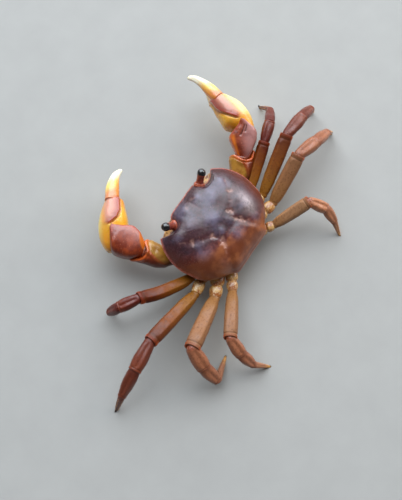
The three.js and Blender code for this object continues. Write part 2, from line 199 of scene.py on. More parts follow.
def note_on(mesh, word, values, kind="FLOAT"):
    """Keeps a named number, or a way, at every point of a mesh."""
    kept = mesh.attributes.new(word, kind, "POINT")
    key = "value" if kind == "FLOAT" else "vector"
    kept.data.foreach_set(key, np.asarray(values, np.float32).ravel())


def smooth_piece(name, mesh):
    mesh.polygons.foreach_set("use_smooth", [True] * len(mesh.polygons))
    piece = bpy.data.objects.new(name, mesh)
    bpy.context.scene.collection.objects.link(piece)
    return piece


def piece_of(name, made, material):
    """A mesh piece from a skin in millimetres, with its named numbers kept on it."""
    points, faces, fields = made
    mesh = bpy.data.meshes.new(name)
    mesh.from_pydata((points * MM + SPOT).tolist(), [], faces)
    for field, values in fields.items():
        note_on(mesh, field, values)
    mesh.materials.append(material)
    return smooth_piece(name, mesh)


def fit(piece, slot, *nodes):
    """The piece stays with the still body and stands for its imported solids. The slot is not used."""
    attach(piece, "root")
    if nodes:
        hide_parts(*nodes)


class Field:
    """A number that changes over a surface: sums written on it add the nodes for them."""

    def __init__(self, graph, socket):
        self.graph, self.socket = graph, socket

    def work(self, operation, first, second=0.0):
        made = self.graph.node("ShaderNodeMath", {"operation": operation}, {0: first, 1: second})
        return Field(self.graph, made.outputs[0])

    def __add__(self, other):
        return self.work("ADD", self, other)

    def __sub__(self, other):
        return self.work("SUBTRACT", self, other)

    def __rsub__(self, other):
        return self.work("SUBTRACT", other, self)

    def __mul__(self, other):
        return self.work("MULTIPLY", self, other)

    def __rtruediv__(self, other):
        return self.work("DIVIDE", other, self)

    def __abs__(self):
        return self.work("ABSOLUTE", self)

    __radd__ = __add__
    __rmul__ = __mul__

    def rise(self, low, high):
        """0 at low, 1 at high, an even slope between; a high below low turns it round."""
        ends = {"Value": self, "From Min": low, "From Max": high}
        made = self.graph.node("ShaderNodeMapRange", {"interpolation_type": "SMOOTHSTEP"}, ends)
        return Field(self.graph, made.outputs[0])


class Graph:
    """A node tree, built by one call for each node."""

    def node(self, kind, settings, sockets):
        made = self.tree.nodes.new(kind)
        for key, value in settings.items():
            setattr(made, key, value)
        for key, value in sockets.items():
            value = value.socket if isinstance(value, Field) else value
            if isinstance(value, bpy.types.NodeSocket):
                self.tree.links.new(value, made.inputs[key])
            else:
                made.inputs[key].default_value = value
        return made


class Finish(Graph):
    """A surface finish."""

    def __init__(self, name):
        self.material = bpy.data.materials.new(name)
        self.material.use_nodes = True
        self.tree = self.material.node_tree
        self.tree.nodes.clear()
        self.place = self.node("ShaderNodeTexCoord", {}, {}).outputs["Object"]

    def field(self, name):
        return Field(self, self.node("ShaderNodeAttribute", {"attribute_name": name}, {}).outputs["Fac"])

    def cloud(self, size, detail=3.0, shift=0.0):
        """Soft random pattern with blotches about `size` millimetres across."""
        moved = self.node("ShaderNodeMapping", {}, {"Vector": self.place, "Location": (shift, shift, shift)})
        sockets = {"Vector": moved.outputs[0], "Scale": 1 / (size * MM), "Detail": detail, "Roughness": 0.55}
        return Field(self, self.node("ShaderNodeTexNoise", {}, sockets).outputs["Fac"])

    def pits(self, size, shift=0.0):
        """Distance to the nearest of many scattered spots, about `size` millimetres apart."""
        moved = self.node("ShaderNodeMapping", {}, {"Vector": self.place, "Location": (shift, shift, shift)})
        sockets = {"Vector": moved.outputs[0], "Scale": 1 / (size * MM)}
        return Field(self, self.node("ShaderNodeTexVoronoi", {}, sockets).outputs["Distance"])

    def mix(self, amount, under, over):
        return self.node("ShaderNodeMix", {"data_type": "RGBA"}, {0: amount, 6: under, 7: over}).outputs[2]

    def coats(self, colour, *layers):
        """Coats of dye over a colour, each as thick as its amount says, from 0 to 1."""
        for amount, over in layers:
            colour = self.mix(amount, colour, over)
        return colour

    def horn(self, colour, roughness, height, depth, shine):
        """Lacquered horn with a bump `depth` millimetres deep."""
        bumped = self.node("ShaderNodeBump", {}, {"Height": height, "Distance": depth * MM, "Strength": 1.0})
        sockets = {"Base Color": colour, "Roughness": roughness, "Normal": bumped.outputs[0], **shine}
        shader = self.node("ShaderNodeBsdfPrincipled", {}, sockets)
        self.node("ShaderNodeOutputMaterial", {}, {0: shader.outputs[0]})
        return self.material


def dye(red, green, blue):
    """Linear colour of a 0 to 255 screen colour."""
    parts = [c / 255 for c in (red, green, blue)]
    return tuple(((c + 0.055) / 1.055) ** 2.4 if c > 0.04 else c / 12.92 for c in parts) + (1.0,)


def whole_edge(half):
    return half + [(-x, y) for x, y in half[-2:0:-1]]


edge_cut = flow(whole_edge(HALF_EDGE), 9, closed=True)
edge_full = flow(whole_edge([NOTCH_FILL.get(i, p) for i, p in enumerate(HALF_EDGE)]), 9, closed=True)


def shell_ring(scale, notch):
    return SHELL_CENTRE + (edge_full + (edge_cut - edge_full) * notch - SHELL_CENTRE) * scale


flank = flow(FLANK_STEPS, 4)[:-1]
top = np.concatenate([
    1 - np.linspace(0, 0.07, 22), np.linspace(0.925, 0.75, 24)[1:], np.linspace(0.745, 0.012, 84),
])  # shares of the outline, closest together over the bead
plan = np.array([shell_ring(s, n) for s, n, _ in flank] + [shell_ring(s, slope(s, 0.72, 0.97)) for s in top])
dome = DOME_HEIGHT * (1 - top**DOME_MIDDLE) ** DOME_SHOULDER
high = np.concatenate([flank[:, 2], dome])[:, None] * np.ones(plan.shape[:2])
is_top = np.concatenate([np.zeros(len(flank)), np.ones(len(top))])[:, None]
inward = np.concatenate([np.zeros(len(flank)), 1 - top])[:, None] * MEAN_REACH
half_plan = np.dstack([np.abs(plan[..., 0]), plan[..., 1]])
relief, scar, groove, swell = (np.zeros(plan.shape[:2]) for _ in range(4))
for path, depth, width in GROOVES:
    near = bell(distance_to(half_plan, [flow(path, 5)]), width)
    relief -= depth * near
    groove = np.maximum(groove, near * depth / 0.2)
for left, back, rise, width in LOBES:
    away = np.linalg.norm(half_plan - (left, back), axis=-1)
    relief += rise * bell(away, width)
    swell = np.maximum(swell, bell(away, 0.7 * width))
shell_rings = np.dstack([plan, high])
wavy = half_plan + 0.3 * np.dstack([lumps(shell_rings, 0.7, 6), lumps(shell_rings, 0.7, 7)])
for path, depth, width in SCARS:
    near = bell(distance_to(wavy, [path]), width)
    relief -= depth * near
    scar = np.maximum(scar, near * min(1.0, depth / FULL_SCAR))
relief += sum(rise * lumps(shell_rings, size, seed) for rise, size, seed in SHELL_LUMPS)
# The bead runs round the front, the eye notches and the sides, and again along the rear
rim_back = edge_cut[:, 1]
beaded = np.maximum(1 - slope(rim_back, 2.5, 6.0), slope(rim_back, 9.6, 10.8) * REAR_BEAD)
bead_lift = BEAD_RISE * bell(inward, BEAD_WIDTH) - GUTTER_DEPTH * bell(inward - GUTTER_AT, GUTTER_WIDTH)
shell_rings[..., 2] += relief * slope(inward, 0.0, 0.8) * is_top
shell_rings[..., 2] += is_top * beaded * bead_lift
in_notch = bell(np.abs(edge_cut[:, 0]) - NOTCH_MIDDLE, NOTCH_WIDTH) * (rim_back < 0)
# Where the painted pale sheen lies over the right gills
worn = bell(plan[..., 0] - PAINTED_SHEEN_SPOT[0] - 0.2 * plan[..., 1], 1.5) * bell(plan[..., 1] - PAINTED_SHEEN_SPOT[1], 3.0)
shell_fields = {
    "across": plan[..., 0],
    "back": plan[..., 1],
    "bead": np.where(is_top > 0, bell(inward, 0.25), slope(high, -0.5, -0.1)) * beaded,
    "scar": scar * is_top,
    "swell": swell * is_top,
    "worn": is_top * worn,
    "groove": groove * is_top,
    "socket": slope(-high, 0.35, 0.9) * in_notch,
    "under": slope(-high, 0.3, 2.6),
}

f = Finish("plum_and_rust_shell")
across, back = f.field("across"), f.field("back")
blotch, broad, speck = f.cloud(3.0, 4.0), f.cloud(5.5, 3.0, 0.7), f.cloud(0.7, 3.0, 0.4)
reach = abs(across)
rear = (back + reach * 0.125 + across * 0.335 + (blotch - 0.5) * 4.5).rise(1.5, 8.5)
plum = f.mix(speck.rise(0.35, 0.7), dye(44, 20, 26), dye(70, 38, 46))
wine = f.mix(speck.rise(0.4, 0.7), dye(84, 28, 20), dye(116, 50, 36))
rust = f.mix(blotch.rise(0.38, 0.66), dye(118, 56, 24), dye(152, 84, 44))
rosy_bead = f.mix(speck.rise(0.35, 0.65), dye(164, 66, 48), dye(206, 126, 108))
socket_lining = f.mix(speck.rise(0.45, 0.65), dye(214, 164, 92), dye(120, 72, 36))
colour = f.coats(
    f.mix(rear.rise(0.0, 0.5), plum, f.mix(rear.rise(0.42, 0.8), wine, rust)),
    # painted sheen: a patchy lavender-grey veil of reflected light over the front and middle
    (broad.rise(0.48, 0.7) * rear.rise(1.0, 0.3) * 0.35, dye(104, 98, 124)),
    # painted sheen: paler lavender on the tops of the swellings
    (f.field("swell") * blotch.rise(0.25, 0.6) * rear.rise(1.2, 0.5) * 0.4, dye(138, 130, 154)),
    # painted sheen: a pale pinkish patch over the right gills
    (f.field("worn") * speck.rise(0.1, 0.6) * 0.55, dye(206, 184, 182)),
    (broad.rise(0.55, 0.4) * rear.rise(0.75, 0.2) * 0.4, dye(70, 22, 24)),
    ((reach + back * 0.2).rise(10.0, 14.5) * 0.5, dye(118, 50, 16)),
    (f.pits(0.55).rise(0.24, 0.1) * blotch.rise(0.45, 0.7) * 0.35, dye(168, 112, 90)),
    (f.field("groove") * 0.3, dye(112, 48, 40)),
    (f.field("scar") * speck.rise(0.15, 0.6) * 0.5, dye(196, 146, 128)),
    (f.field("bead") * 0.95, rosy_bead),
    (f.field("under"), dye(150, 104, 66)),
    (f.field("socket") * 0.9, socket_lining),
)
shell_material = f.horn(
    colour, 0.36 + (speck - 0.5) * 0.2, f.pits(0.28).rise(0.0, 0.35) * 0.6 + f.cloud(0.5, 5.0) * 0.8, 0.02,
    {"Coat Weight": 0.5, "Coat Roughness": 0.34, "Specular IOR Level": 0.45},
)
made, faces, kept = skin(shell_rings, shell_fields)
back_shell = piece_of("back_shell", (tilt(made), faces, kept), shell_material)
fit(back_shell, "carapace_shell", "carapace")


# Grains of the back shell -----------------------------------------------------------
# Low horn grains roughen the shell towards its front and sides, and a row of larger ones
# tops the bead, like milling. They are part of the shell and take its colours.
GRAIN_WIDTH, GRAIN_SPACING = 0.15, 1 / 3
RIM_GRAIN_WIDTH, RIM_GRAIN_SPACING = 0.2, 0.27
ROUGH_REACH = (15.3, 12.4)  # half width and half length of the oval that the grains keep outside
BRIM_REAR = 4.0  # how far back the milling runs


class Growth(Graph):
    """A tree that sets many small copies of one shape on rows or on a surface."""

    inputs = (
        ("Bed", "Geometry", None), ("Spacing", "Float", 0.3 * MM), ("Size", "Float", 0.2 * MM),
        ("Least share", "Float", 0.6), ("Stand", "Float", 1.0), ("Seed", "Int", 1),
        ("Finish", "Material", None),
    )

    def __init__(self, name, shape, settings, sizes, on_rows):
        self.tree = bpy.data.node_groups.new(name, "GeometryNodeTree")
        for word, kind, value in self.inputs:
            socket = self.tree.interface.new_socket(word, in_out="INPUT", socket_type="NodeSocket" + kind)
            if value is not None:
                socket.default_value = value
        self.tree.interface.new_socket("Grown", in_out="OUTPUT", socket_type="NodeSocketGeometry")
        given = self.node("NodeGroupInput", {}, {}).outputs
        spots, out = self.on_rows(given) if on_rows else self.on_surface(given)
        turn = self.node("FunctionNodeAlignRotationToVector", {"axis": "Z"}, {"Vector": out}).outputs[0]
        size = Field(self, given["Size"])
        sockets = {2: size * given["Least share"], 3: size, "Seed": given["Seed"]}
        share = self.node("FunctionNodeRandomValue", {"data_type": "FLOAT"}, sockets).outputs[1]
        one = self.node(shape, settings, sizes).outputs["Mesh"]
        sockets = {"Points": spots, "Instance": one, "Rotation": turn, "Scale": share}
        many = self.node("GeometryNodeInstanceOnPoints", {}, sockets).outputs[0]
        real = self.node("GeometryNodeRealizeInstances", {}, {0: many}).outputs[0]
        sockets = {"Geometry": real, "Material": given["Finish"]}
        self.node("NodeGroupOutput", {}, {0: self.node("GeometryNodeSetMaterial", {}, sockets).outputs[0]})

    def named(self, word, kind="FLOAT_VECTOR"):
        """A number or a way that is noted on the bed."""
        made = self.node("GeometryNodeInputNamedAttribute", {"data_type": kind}, {"Name": word})
        return made.outputs[0]

    def on_rows(self, given):
        """Spots along the bed's edges, and their ways out."""
        curve = self.node("GeometryNodeMeshToCurve", {}, {0: given["Bed"]}).outputs[0]
        sockets = {"Curve": curve, "Length": given["Spacing"]}
        spots = self.node("GeometryNodeResampleCurve", {"mode": "LENGTH"}, sockets).outputs[0]
        return spots, self.named("outward")

    def on_surface(self, given):
        """Scattered spots at the mean spacing, fewer where the bed's "thick" is under 1."""
        spacing = Field(self, given["Spacing"])
        count = 1.0 / (spacing * spacing) * self.named("thick", "FLOAT")
        sockets = {"Mesh": given["Bed"], "Density": count, "Seed": given["Seed"]}
        settings = {"distribute_method": "RANDOM"}
        bed = self.node("GeometryNodeDistributePointsOnFaces", settings, sockets).outputs
        sockets = {0: bed["Normal"], "Scale": given["Stand"]}
        stand = self.node("ShaderNodeVectorMath", {"operation": "SCALE"}, sockets).outputs[0]
        sockets = {0: stand, 1: self.named("lean")}
        return bed["Points"], self.node("ShaderNodeVectorMath", {"operation": "ADD"}, sockets).outputs[0]

    def grow(self, name, bed, finish, seed, spacing, size, least_share=0.5, stand=1.0):
        """Grows on a mesh, with sizes in millimetres, and gives the result as a plain piece."""
        plot = bpy.data.objects.new("plot", bed)
        bpy.context.scene.collection.objects.link(plot)
        growing = plot.modifiers.new("growing", "NODES")
        growing.node_group = self.tree
        values = {"Spacing": spacing * MM, "Size": size * MM, "Least share": least_share}
        values.update({"Stand": stand, "Seed": seed, "Finish": finish})
        for socket in self.tree.interface.items_tree:
            if socket.name in values:
                growing[socket.identifier] = values[socket.name]
        mesh = bpy.data.meshes.new_from_object(plot.evaluated_get(bpy.context.evaluated_depsgraph_get()))
        bpy.data.objects.remove(plot)
        # nothing grows down through the floor
        spots = np.empty(3 * len(mesh.vertices), np.float32)
        mesh.vertices.foreach_get("co", spots)
        spots[2::3] = np.maximum(spots[2::3], 0.0)
        mesh.vertices.foreach_set("co", spots)
        mesh.name = name
        return smooth_piece(name, mesh)


def rows_of(lines, fields=None):
    """A bed of rows: each line is its points in millimetres and the way out at each."""
    edges, first = [], 0
    for spots, _ in lines:
        edges += [(first + k, first + k + 1) for k in range(len(spots) - 1)]
        first += len(spots)
    points, ways = (np.vstack(column) for column in zip(*lines))
    bed = bpy.data.meshes.new("rows")
    bed.from_pydata((points * MM + SPOT).tolist(), edges, [])
    note_on(bed, "outward", ways, "FLOAT_VECTOR")
    for field, values in (fields or {}).items():
        note_on(bed, field, values)
    return bed


GRAIN = ("GeometryNodeMeshUVSphere", {}, {"Segments": 7, "Rings": 4, "Radius": 0.5})
bed = back_shell.data.copy()
x, y = kept["across"], kept["back"]
outwards = np.hypot(x / ROUGH_REACH[0], (y + 1.0) / ROUGH_REACH[1])
rough_part = slope(outwards - 0.1 * lumps(np.stack([x, y, 0 * x], -1), 2.5, 5), 0.62, 0.95)
rough_part = rough_part * (1 - slope(y, -1.0, 5.0)) * slope(made[:, 2], 0.25, 0.6) * (1 - kept["scar"])
note_on(bed, "thick", rough_part)
grains = Growth("grains_on_surface", *GRAIN, on_rows=False).grow(
    "shell_grains", bed, shell_material, 11, GRAIN_SPACING, GRAIN_WIDTH)
fit(grains, "carapace_shell")
brim = np.flatnonzero(rim_back < BRIM_REAR)
brim = np.roll(brim, -int(np.argmax(np.diff(brim) > 1)) - 1)  # from one side round the front to the other
ring = shell_rings[len(flank) + 1, brim]
ways = np.dstack([edge_cut[brim, 0] * 0.05, edge_cut[brim, 1] * 0.05, np.ones(len(brim))])[0]
ring_fields = {"across": ring[:, 0], "back": ring[:, 1], "bead": 0.8 + 0 * ring[:, 0]}
milling = Growth("grains_in_rows", *GRAIN, on_rows=True).grow(
    "rim_grains", rows_of([(tilt(ring), body_out(ways))], ring_fields), shell_material, 12,
    RIM_GRAIN_SPACING, RIM_GRAIN_WIDTH, 0.55)
fit(milling, "carapace_shell")


# Chest and tail flap ----------------------------------------------------------------
# The underside is a chest plate of fused rings, pale and thin, with a seam between each
# pair of legs. The tail is a flap of seven small plates, hinged behind and folded flat
# forwards under the chest.
CHEST_STEPS = [
    (0.03, -6.4), (0.25, -6.38), (0.5, -6.25), (0.62, -5.8), (0.72, -4.8), (0.78, -3.7), (0.80, -3.2),
]  # share of the shell's outline, height
CHEST_SEAMS = [-5.4, -2.6, 0.3, 3.2, 6.0]  # where each seam meets the middle line, back from the spot
SEAM_RISE, SEAM_WIDTH = 0.28, 0.22
FLAP_ROOT, FLAP_LEVEL, FLAP_HALF_THICK = -3.4, -7.0, 0.42
FLAP_HALF = [(-3.4, 0.7), (-2.4, 1.35), (-1.4, 1.55), (1.5, 2.2), (4.8, 3.6), (6.6, 4.3), (8.0, 3.3)]
FLAP_JOINTS = [-1.6, 0.1, 1.8, 3.4, 5.0, 6.5]

steps = flow(CHEST_STEPS, 8)
chest_plan = np.array([edge_full * s + (0, 1.0 * (1 - s)) for s, _ in steps])
chest_high = steps[:, 1][:, None] * np.ones(chest_plan.shape[:2])
seams = [[(0.0, y), (12.0, y * 1.45 + 0.6)] for y in CHEST_SEAMS] + [[(0.0, -9.0), (0.0, 9.0)]]
half_plan = np.dstack([np.abs(chest_plan[..., 0]), chest_plan[..., 1]])
seam = bell(distance_to(half_plan, seams), SEAM_WIDTH)
chest_high += SEAM_RISE * seam + 0.05 * lumps(np.dstack([chest_plan, chest_high]), 1.4, 21)
chest_plan *= 1 - 0.012 * seam[..., None]
f = Finish("straw_belly_shell")
cloudy, speck = f.cloud(2.6, 4.0), f.cloud(0.5, 3.0, 0.2)
colour = f.coats(
    f.mix(cloudy.rise(0.35, 0.68), dye(214, 186, 128), dye(188, 144, 84)),
    (speck.rise(0.62, 0.8) * 0.5, dye(140, 92, 52)),
    (f.field("seam") * 0.7, dye(128, 82, 48)),
)
belly_material = f.horn(
    colour, 0.38 + (speck - 0.5) * 0.2, f.pits(0.3).rise(0.0, 0.4) + f.cloud(0.4, 4.0), 0.02,
    {"Coat Weight": 0.3, "Coat Roughness": 0.25, "Subsurface Weight": 0.08, "Subsurface Scale": 0.4 * MM},
)
made, faces, kept = skin(np.dstack([chest_plan, chest_high]), {"seam": seam})
chest = piece_of("chest", (tilt(made), faces, kept), belly_material)
fit(chest, "belly_shell", "thorax")

# The few rings that close a tube's ends: how far along from its first or last station, as a
# share of the end's length, and their share of that station's width
ROUND_START = [(0.42, 0.3), (0.34, 0.62), (0.2, 0.85), (0.08, 0.96)]
ROUND_END = [(0.12, 0.95), (0.3, 0.8), (0.5, 0.45), (0.58, 0.15)]
CUP_END = [(0.03, 0.94), (0.0, 0.86), (-0.3, 0.8), (-0.75, 0.74), (-1.0, 0.5)]


def tube(stations, around=48, rings=56, square=2.3, relief=None, marks=None, ends=(0.55, 0.8), cup=0.0):
    """Shell through stations [along, half width, half height, lift, shift]. The near end is
    rounded, and a cup leaves the far end open like a collar, that many millimetres deep.
    Relief and marks are worked out from the share along, the angle round and the way along."""
    line = flow([tuple(s) + (0.0,) * (5 - len(s)) for s in stations], 12)
    x = np.linspace(line[0, 0], line[-1, 0], rings)
    size = np.array([np.interp(x, line[:, 0], line[:, c]) for c in range(1, 5)]).T
    near, far = np.array(ROUND_START).T, np.array(CUP_END if cup else ROUND_END).T
    near_x = x[0] - ends[0] * size[0].min() * near[0]
    far_x = x[-1] + far[0] * (cup or ends[1] * size[-1].min())
    xs = np.concatenate([near_x, x, far_x])[:, None]
    t = np.concatenate([0 * near_x, (x - x[0]) / (x[-1] - x[0]), far_x * 0 + 1])[:, None]
    grow = np.concatenate([near[1], np.ones(rings), far[1]])[:, None]
    size = np.vstack([np.repeat(size[:1], len(near_x), 0), size, np.repeat(size[-1:], len(far_x), 0)])
    angle = np.linspace(0, 2 * math.pi, around, endpoint=False)[None, :]
    cos, sin = np.cos(angle), np.sin(angle)
    out = 1 / (np.abs(cos) ** square + np.abs(sin) ** square) ** (1 / square)
    raised = relief(t, angle, xs) if relief else 0.0
    y = (size[:, :1] * out * grow + raised * grow) * cos + size[:, 3:4]
    z = (size[:, 1:2] * out * grow + raised * grow) * sin + size[:, 2:3]
    named = {"along": t, "up": sin, "side": cos, **(marks(t, angle, xs) if marks else {})}
    return np.dstack([xs + 0 * y, y, z]), named


def shell_of(tube_made, root, axes, flip=False, rough=0.0, seed=0):
    """Places a tube: its near end at root, its own directions along the rows of axes."""
    rings, named = tube_made
    if flip:
        rings = rings * (1, -1, 1)
    if rough:
        local = rings - rings.mean(1, keepdims=True) * (0, 1, 1)
        swell = 1 + rough * (lumps(rings, 1.5, seed) + 0.5 * lumps(rings, 0.6, seed + 1))[..., None]
        rings = rings + local * (0, 1, 1) * (swell - 1)
    placed = np.asarray(root) + rings @ np.asarray(axes)
    placed[..., 2] = np.maximum(placed[..., 2], 0.0)
    return skin(placed, named, flip)


def steps_over(t, joints, reach, rise, drop=0.35):
    """Each plate swells towards its rear edge, and drops sharply onto the next."""
    total = 0.0
    for joint in joints:
        total = total + rise * (slope(t, joint - reach, joint) - slope(t, joint, joint + drop))
    return total


flap_line = [(y - FLAP_ROOT, half, FLAP_HALF_THICK) for y, half in FLAP_HALF]
flap_joints = [y - FLAP_ROOT for y in FLAP_JOINTS]
flap = tube(
    flap_line, 72, 150, 2.8, lambda t, a, x: steps_over(x, flap_joints, 1.0, 0.16, 0.12),
    lambda t, a, x: {"seam": sum(bell(x - j - 0.06, 0.1) for j in flap_joints)},
)
flap_axes = body_out([(0, 1, 0), (-1, 0, 0), (0, 0, 1)])
tail_flap = piece_of("tail_flap", shell_of(flap, tilt((0, FLAP_ROOT, FLAP_LEVEL)), flap_axes), belly_material)
fit(tail_flap, "belly_shell", "abdomen")


# Mouth plates -----------------------------------------------------------------------
# Two hinged legs close over the mouth like doors. Each has a long inner plate, a square
# one above it and a thin feeler-bearing strip outside, all of thin shell.
MOUTH_AT, MOUTH_DROP = (0.0, -9.1, -2.1), math.radians(-31)
MOUTH_PLATES = [
    (0.25, 2.75, 1.95, 1.6, 0.62, 0.1), (2.85, 7.1, 1.85, 1.5, 0.66, 0.0), (0.9, 6.3, 3.95, 0.42, 0.45, -0.1),
]  # start and end along, middle and half width, half thickness, lift
BACKING = [(0.2, 3.5, 0.3, 0.1), (3.4, 4.2, 0.45, 0.1), (7.0, 3.1, 0.3, 0.1)]

mouth_axes = body_out([
    (0, math.cos(MOUTH_DROP), math.sin(MOUTH_DROP)),
    (-1, 0, 0),
    (0, -math.sin(MOUTH_DROP), math.cos(MOUTH_DROP)),
])
mouth_root = tilt(MOUTH_AT)


def plate_groove(t, a, x):
    """A line sunk along the face of each plate."""
    return -0.14 * bell(a - 1.5 * math.pi, 0.1) * slope(t, 0.05, 0.2) * slope(1 - t, 0.05, 0.2)


plates = [shell_of(tube(BACKING, 40, 24), mouth_root, mouth_axes)]
for side in (-1, 1):
    for near, far, middle, half, thick, lift in MOUTH_PLATES:
        spread = [
            (near, 0.8, 0.7), (near + 0.25, 1, 1), ((near + far) / 2, 1, 1),
            (far - 0.3, 0.96, 1), (far, 0.78, 0.7),
        ]  # along, share of the half width, share of the thickness
        line = [(x, half * wide, thick * deep, lift, side * middle) for x, wide, deep in spread]
        plate = tube(line, 48, 40, 4.0, plate_groove)
        plates.append(shell_of(plate, mouth_root, mouth_axes, rough=0.02, seed=31))
f = Finish("yellow_mouth_shell")
cloudy, speck = f.cloud(1.6, 4.0), f.cloud(0.35, 3.0, 0.3)
colour = f.mix(cloudy.rise(0.35, 0.65), dye(196, 142, 74), dye(150, 88, 50))
colour = f.mix(speck.rise(0.6, 0.75) * 0.5, colour, dye(96, 50, 36))
mouth_material = f.horn(
    colour, 0.36 + (speck - 0.5) * 0.2, f.pits(0.25).rise(0.0, 0.4) + f.cloud(0.4, 4.0), 0.02,
    {"Coat Weight": 0.35, "Coat Roughness": 0.22},
)
mouth_doors = piece_of("mouth_doors", joined(plates), mouth_material)
fit(mouth_doors, "mouth_shell", "mouthparts")


# Eyes -------------------------------------------------------------------------------
# Each eye is a stalk of red-brown shell, hinged in its socket, with a black cornea of
# many small lenses that wraps its tip. The shell runs up over the top of the lenses.
EYES = {"left": ((6.5, -8.9, 0.8), -40, 36), "right": ((-5.75, -9.9, 0.9), -150, 36)}  # foot, turn, rise
STALK = [
    (-0.2, 1.3, 1.0), (0.2, 1.5, 1.2), (0.7, 1.4, 1.15), (1.1, 1.05, 0.98),
    (2.2, 0.98, 0.96), (3.0, 1.06, 1.04), (3.5, 1.0, 1.0),
]
CORNEA = [
    (2.9, 0.9, 0.9), (3.2, 1.08, 1.08), (3.6, 1.14, 1.14),
    (4.1, 1.04, 1.04), (4.5, 0.78, 0.78), (4.72, 0.46, 0.46),
]


def limb_axes(turn, rise):
    """Along, left and up directions of a part that heads `turn` over the floor and rises."""
    turn, rise = math.radians(turn), math.radians(rise)
    along = np.array([math.cos(rise) * math.cos(turn), math.cos(rise) * math.sin(turn), math.sin(rise)])
    left = np.array([-math.sin(turn), math.cos(turn), 0.0])
    return np.array([along, left, np.cross(along, left)])


def stalk_hood(t, a, x):
    """The shell's lip over the lenses, and the hinge line round the stalk's foot."""
    return 0.1 * bell(a - math.pi / 2, 0.5) * slope(t, 0.6, 0.95) - 0.05 * bell(x - 0.55, 0.12)


f = Finish("red_brown_stalk")
speck = f.cloud(0.4, 4.0)
colour = f.coats(
    f.mix(speck.rise(0.4, 0.66), dye(128, 40, 18), dye(184, 84, 40)),
    (f.field("up").rise(0.2, 0.9) * 0.5, dye(92, 34, 34)),
    (f.field("along").rise(0.36, 0.22) * 0.7, dye(198, 104, 74)),
)
stalk_material = f.horn(
    colour, 0.34 + (speck - 0.5) * 0.2, f.pits(0.16) + speck, 0.03,
    {"Coat Weight": 0.4, "Coat Roughness": 0.2},
)
f = Finish("black_lenses")
facet = f.pits(0.09)
colour = f.mix(f.cloud(0.7, 2.0).rise(0.4, 0.7), dye(10, 9, 11), dye(34, 22, 20))
cornea_material = f.horn(
    colour, 0.12 + facet * 0.1, 1 - facet, 0.006,
    {"Coat Weight": 0.7, "Coat Roughness": 0.05, "Specular IOR Level": 0.7},
)
for word, (root, turn, rise) in EYES.items():
    axes, root = body_out(limb_axes(turn, rise)), tilt(root)
    stalk = shell_of(tube(STALK, 40, 44, 2.1, stalk_hood), root, axes, rough=0.03, seed=41)
    fit(piece_of(f"eye_stalk_{word}", stalk, stalk_material), "eyestalk_shell", f"eyestalk_{word}")
    lens = shell_of(tube(CORNEA, 48, 40, 2.0, ends=(0.2, 0.9)), root, axes)
    fit(piece_of(f"eye_lens_{word}", lens, cornea_material), "cornea", f"cornea_{word}")


# Feelers ----------------------------------------------------------------------------
# Between the eyes stand two short feelers. Each has a stout two-jointed foot and a whip
# of short rings that thins to its tip.
FEELER_AT, FEELER_RISE = (5.4, -9.6, -1.5), -4  # the left one's foot
FEELERS = {"left": (1, -22), "right": (-1, -158)}  # side, turn
FOOT_JOINT, WHIP_RINGS_PER_MM = 0.85, 5.0
FOOT = [
    (0.0, 0.5, 0.5), (0.4, 0.56, 0.56), (0.75, 0.5, 0.5), (FOOT_JOINT, 0.4, 0.4),
    (1.0, 0.46, 0.46), (1.4, 0.42, 0.42), (1.6, 0.34, 0.34),
]
WHIP = [(1.5, 0.27, 0.27), (2.4, 0.21, 0.21), (3.1, 0.15, 0.15), (3.45, 0.09, 0.09)]


def whip_rings(x):
    return bell((x * WHIP_RINGS_PER_MM) % 1.0 - 0.5, 0.2)


f = Finish("amber_feeler")
speck = f.cloud(0.3, 4.0)
colour = f.mix(speck.rise(0.4, 0.66), dye(176, 116, 66), dye(120, 58, 40))
colour = f.mix(f.field("ring") * 0.6, colour, dye(88, 40, 32))
feeler_material = f.horn(
    colour, 0.4 + (speck - 0.5) * 0.2, speck, 0.02, {"Coat Weight": 0.3, "Coat Roughness": 0.25})
for word, (side, turn) in FEELERS.items():
    axes = body_out(limb_axes(turn, FEELER_RISE))
    root = tilt((FEELER_AT[0] * side, FEELER_AT[1], FEELER_AT[2]))
    whip = tube(WHIP, 16, 90, 2.0, lambda t, a, x: -0.03 * whip_rings(x),
                lambda t, a, x: {"ring": whip_rings(x)})
    foot = tube(FOOT, 28, 40, 2.0, None, lambda t, a, x: {"ring": bell(x - FOOT_JOINT, 0.08)})
    both = joined([shell_of(foot, root, axes, rough=0.03, seed=44), shell_of(whip, root, axes)])
    fit(piece_of(f"feeler_{word}", both, feeler_material), "feeler", f"antenna_{word}")


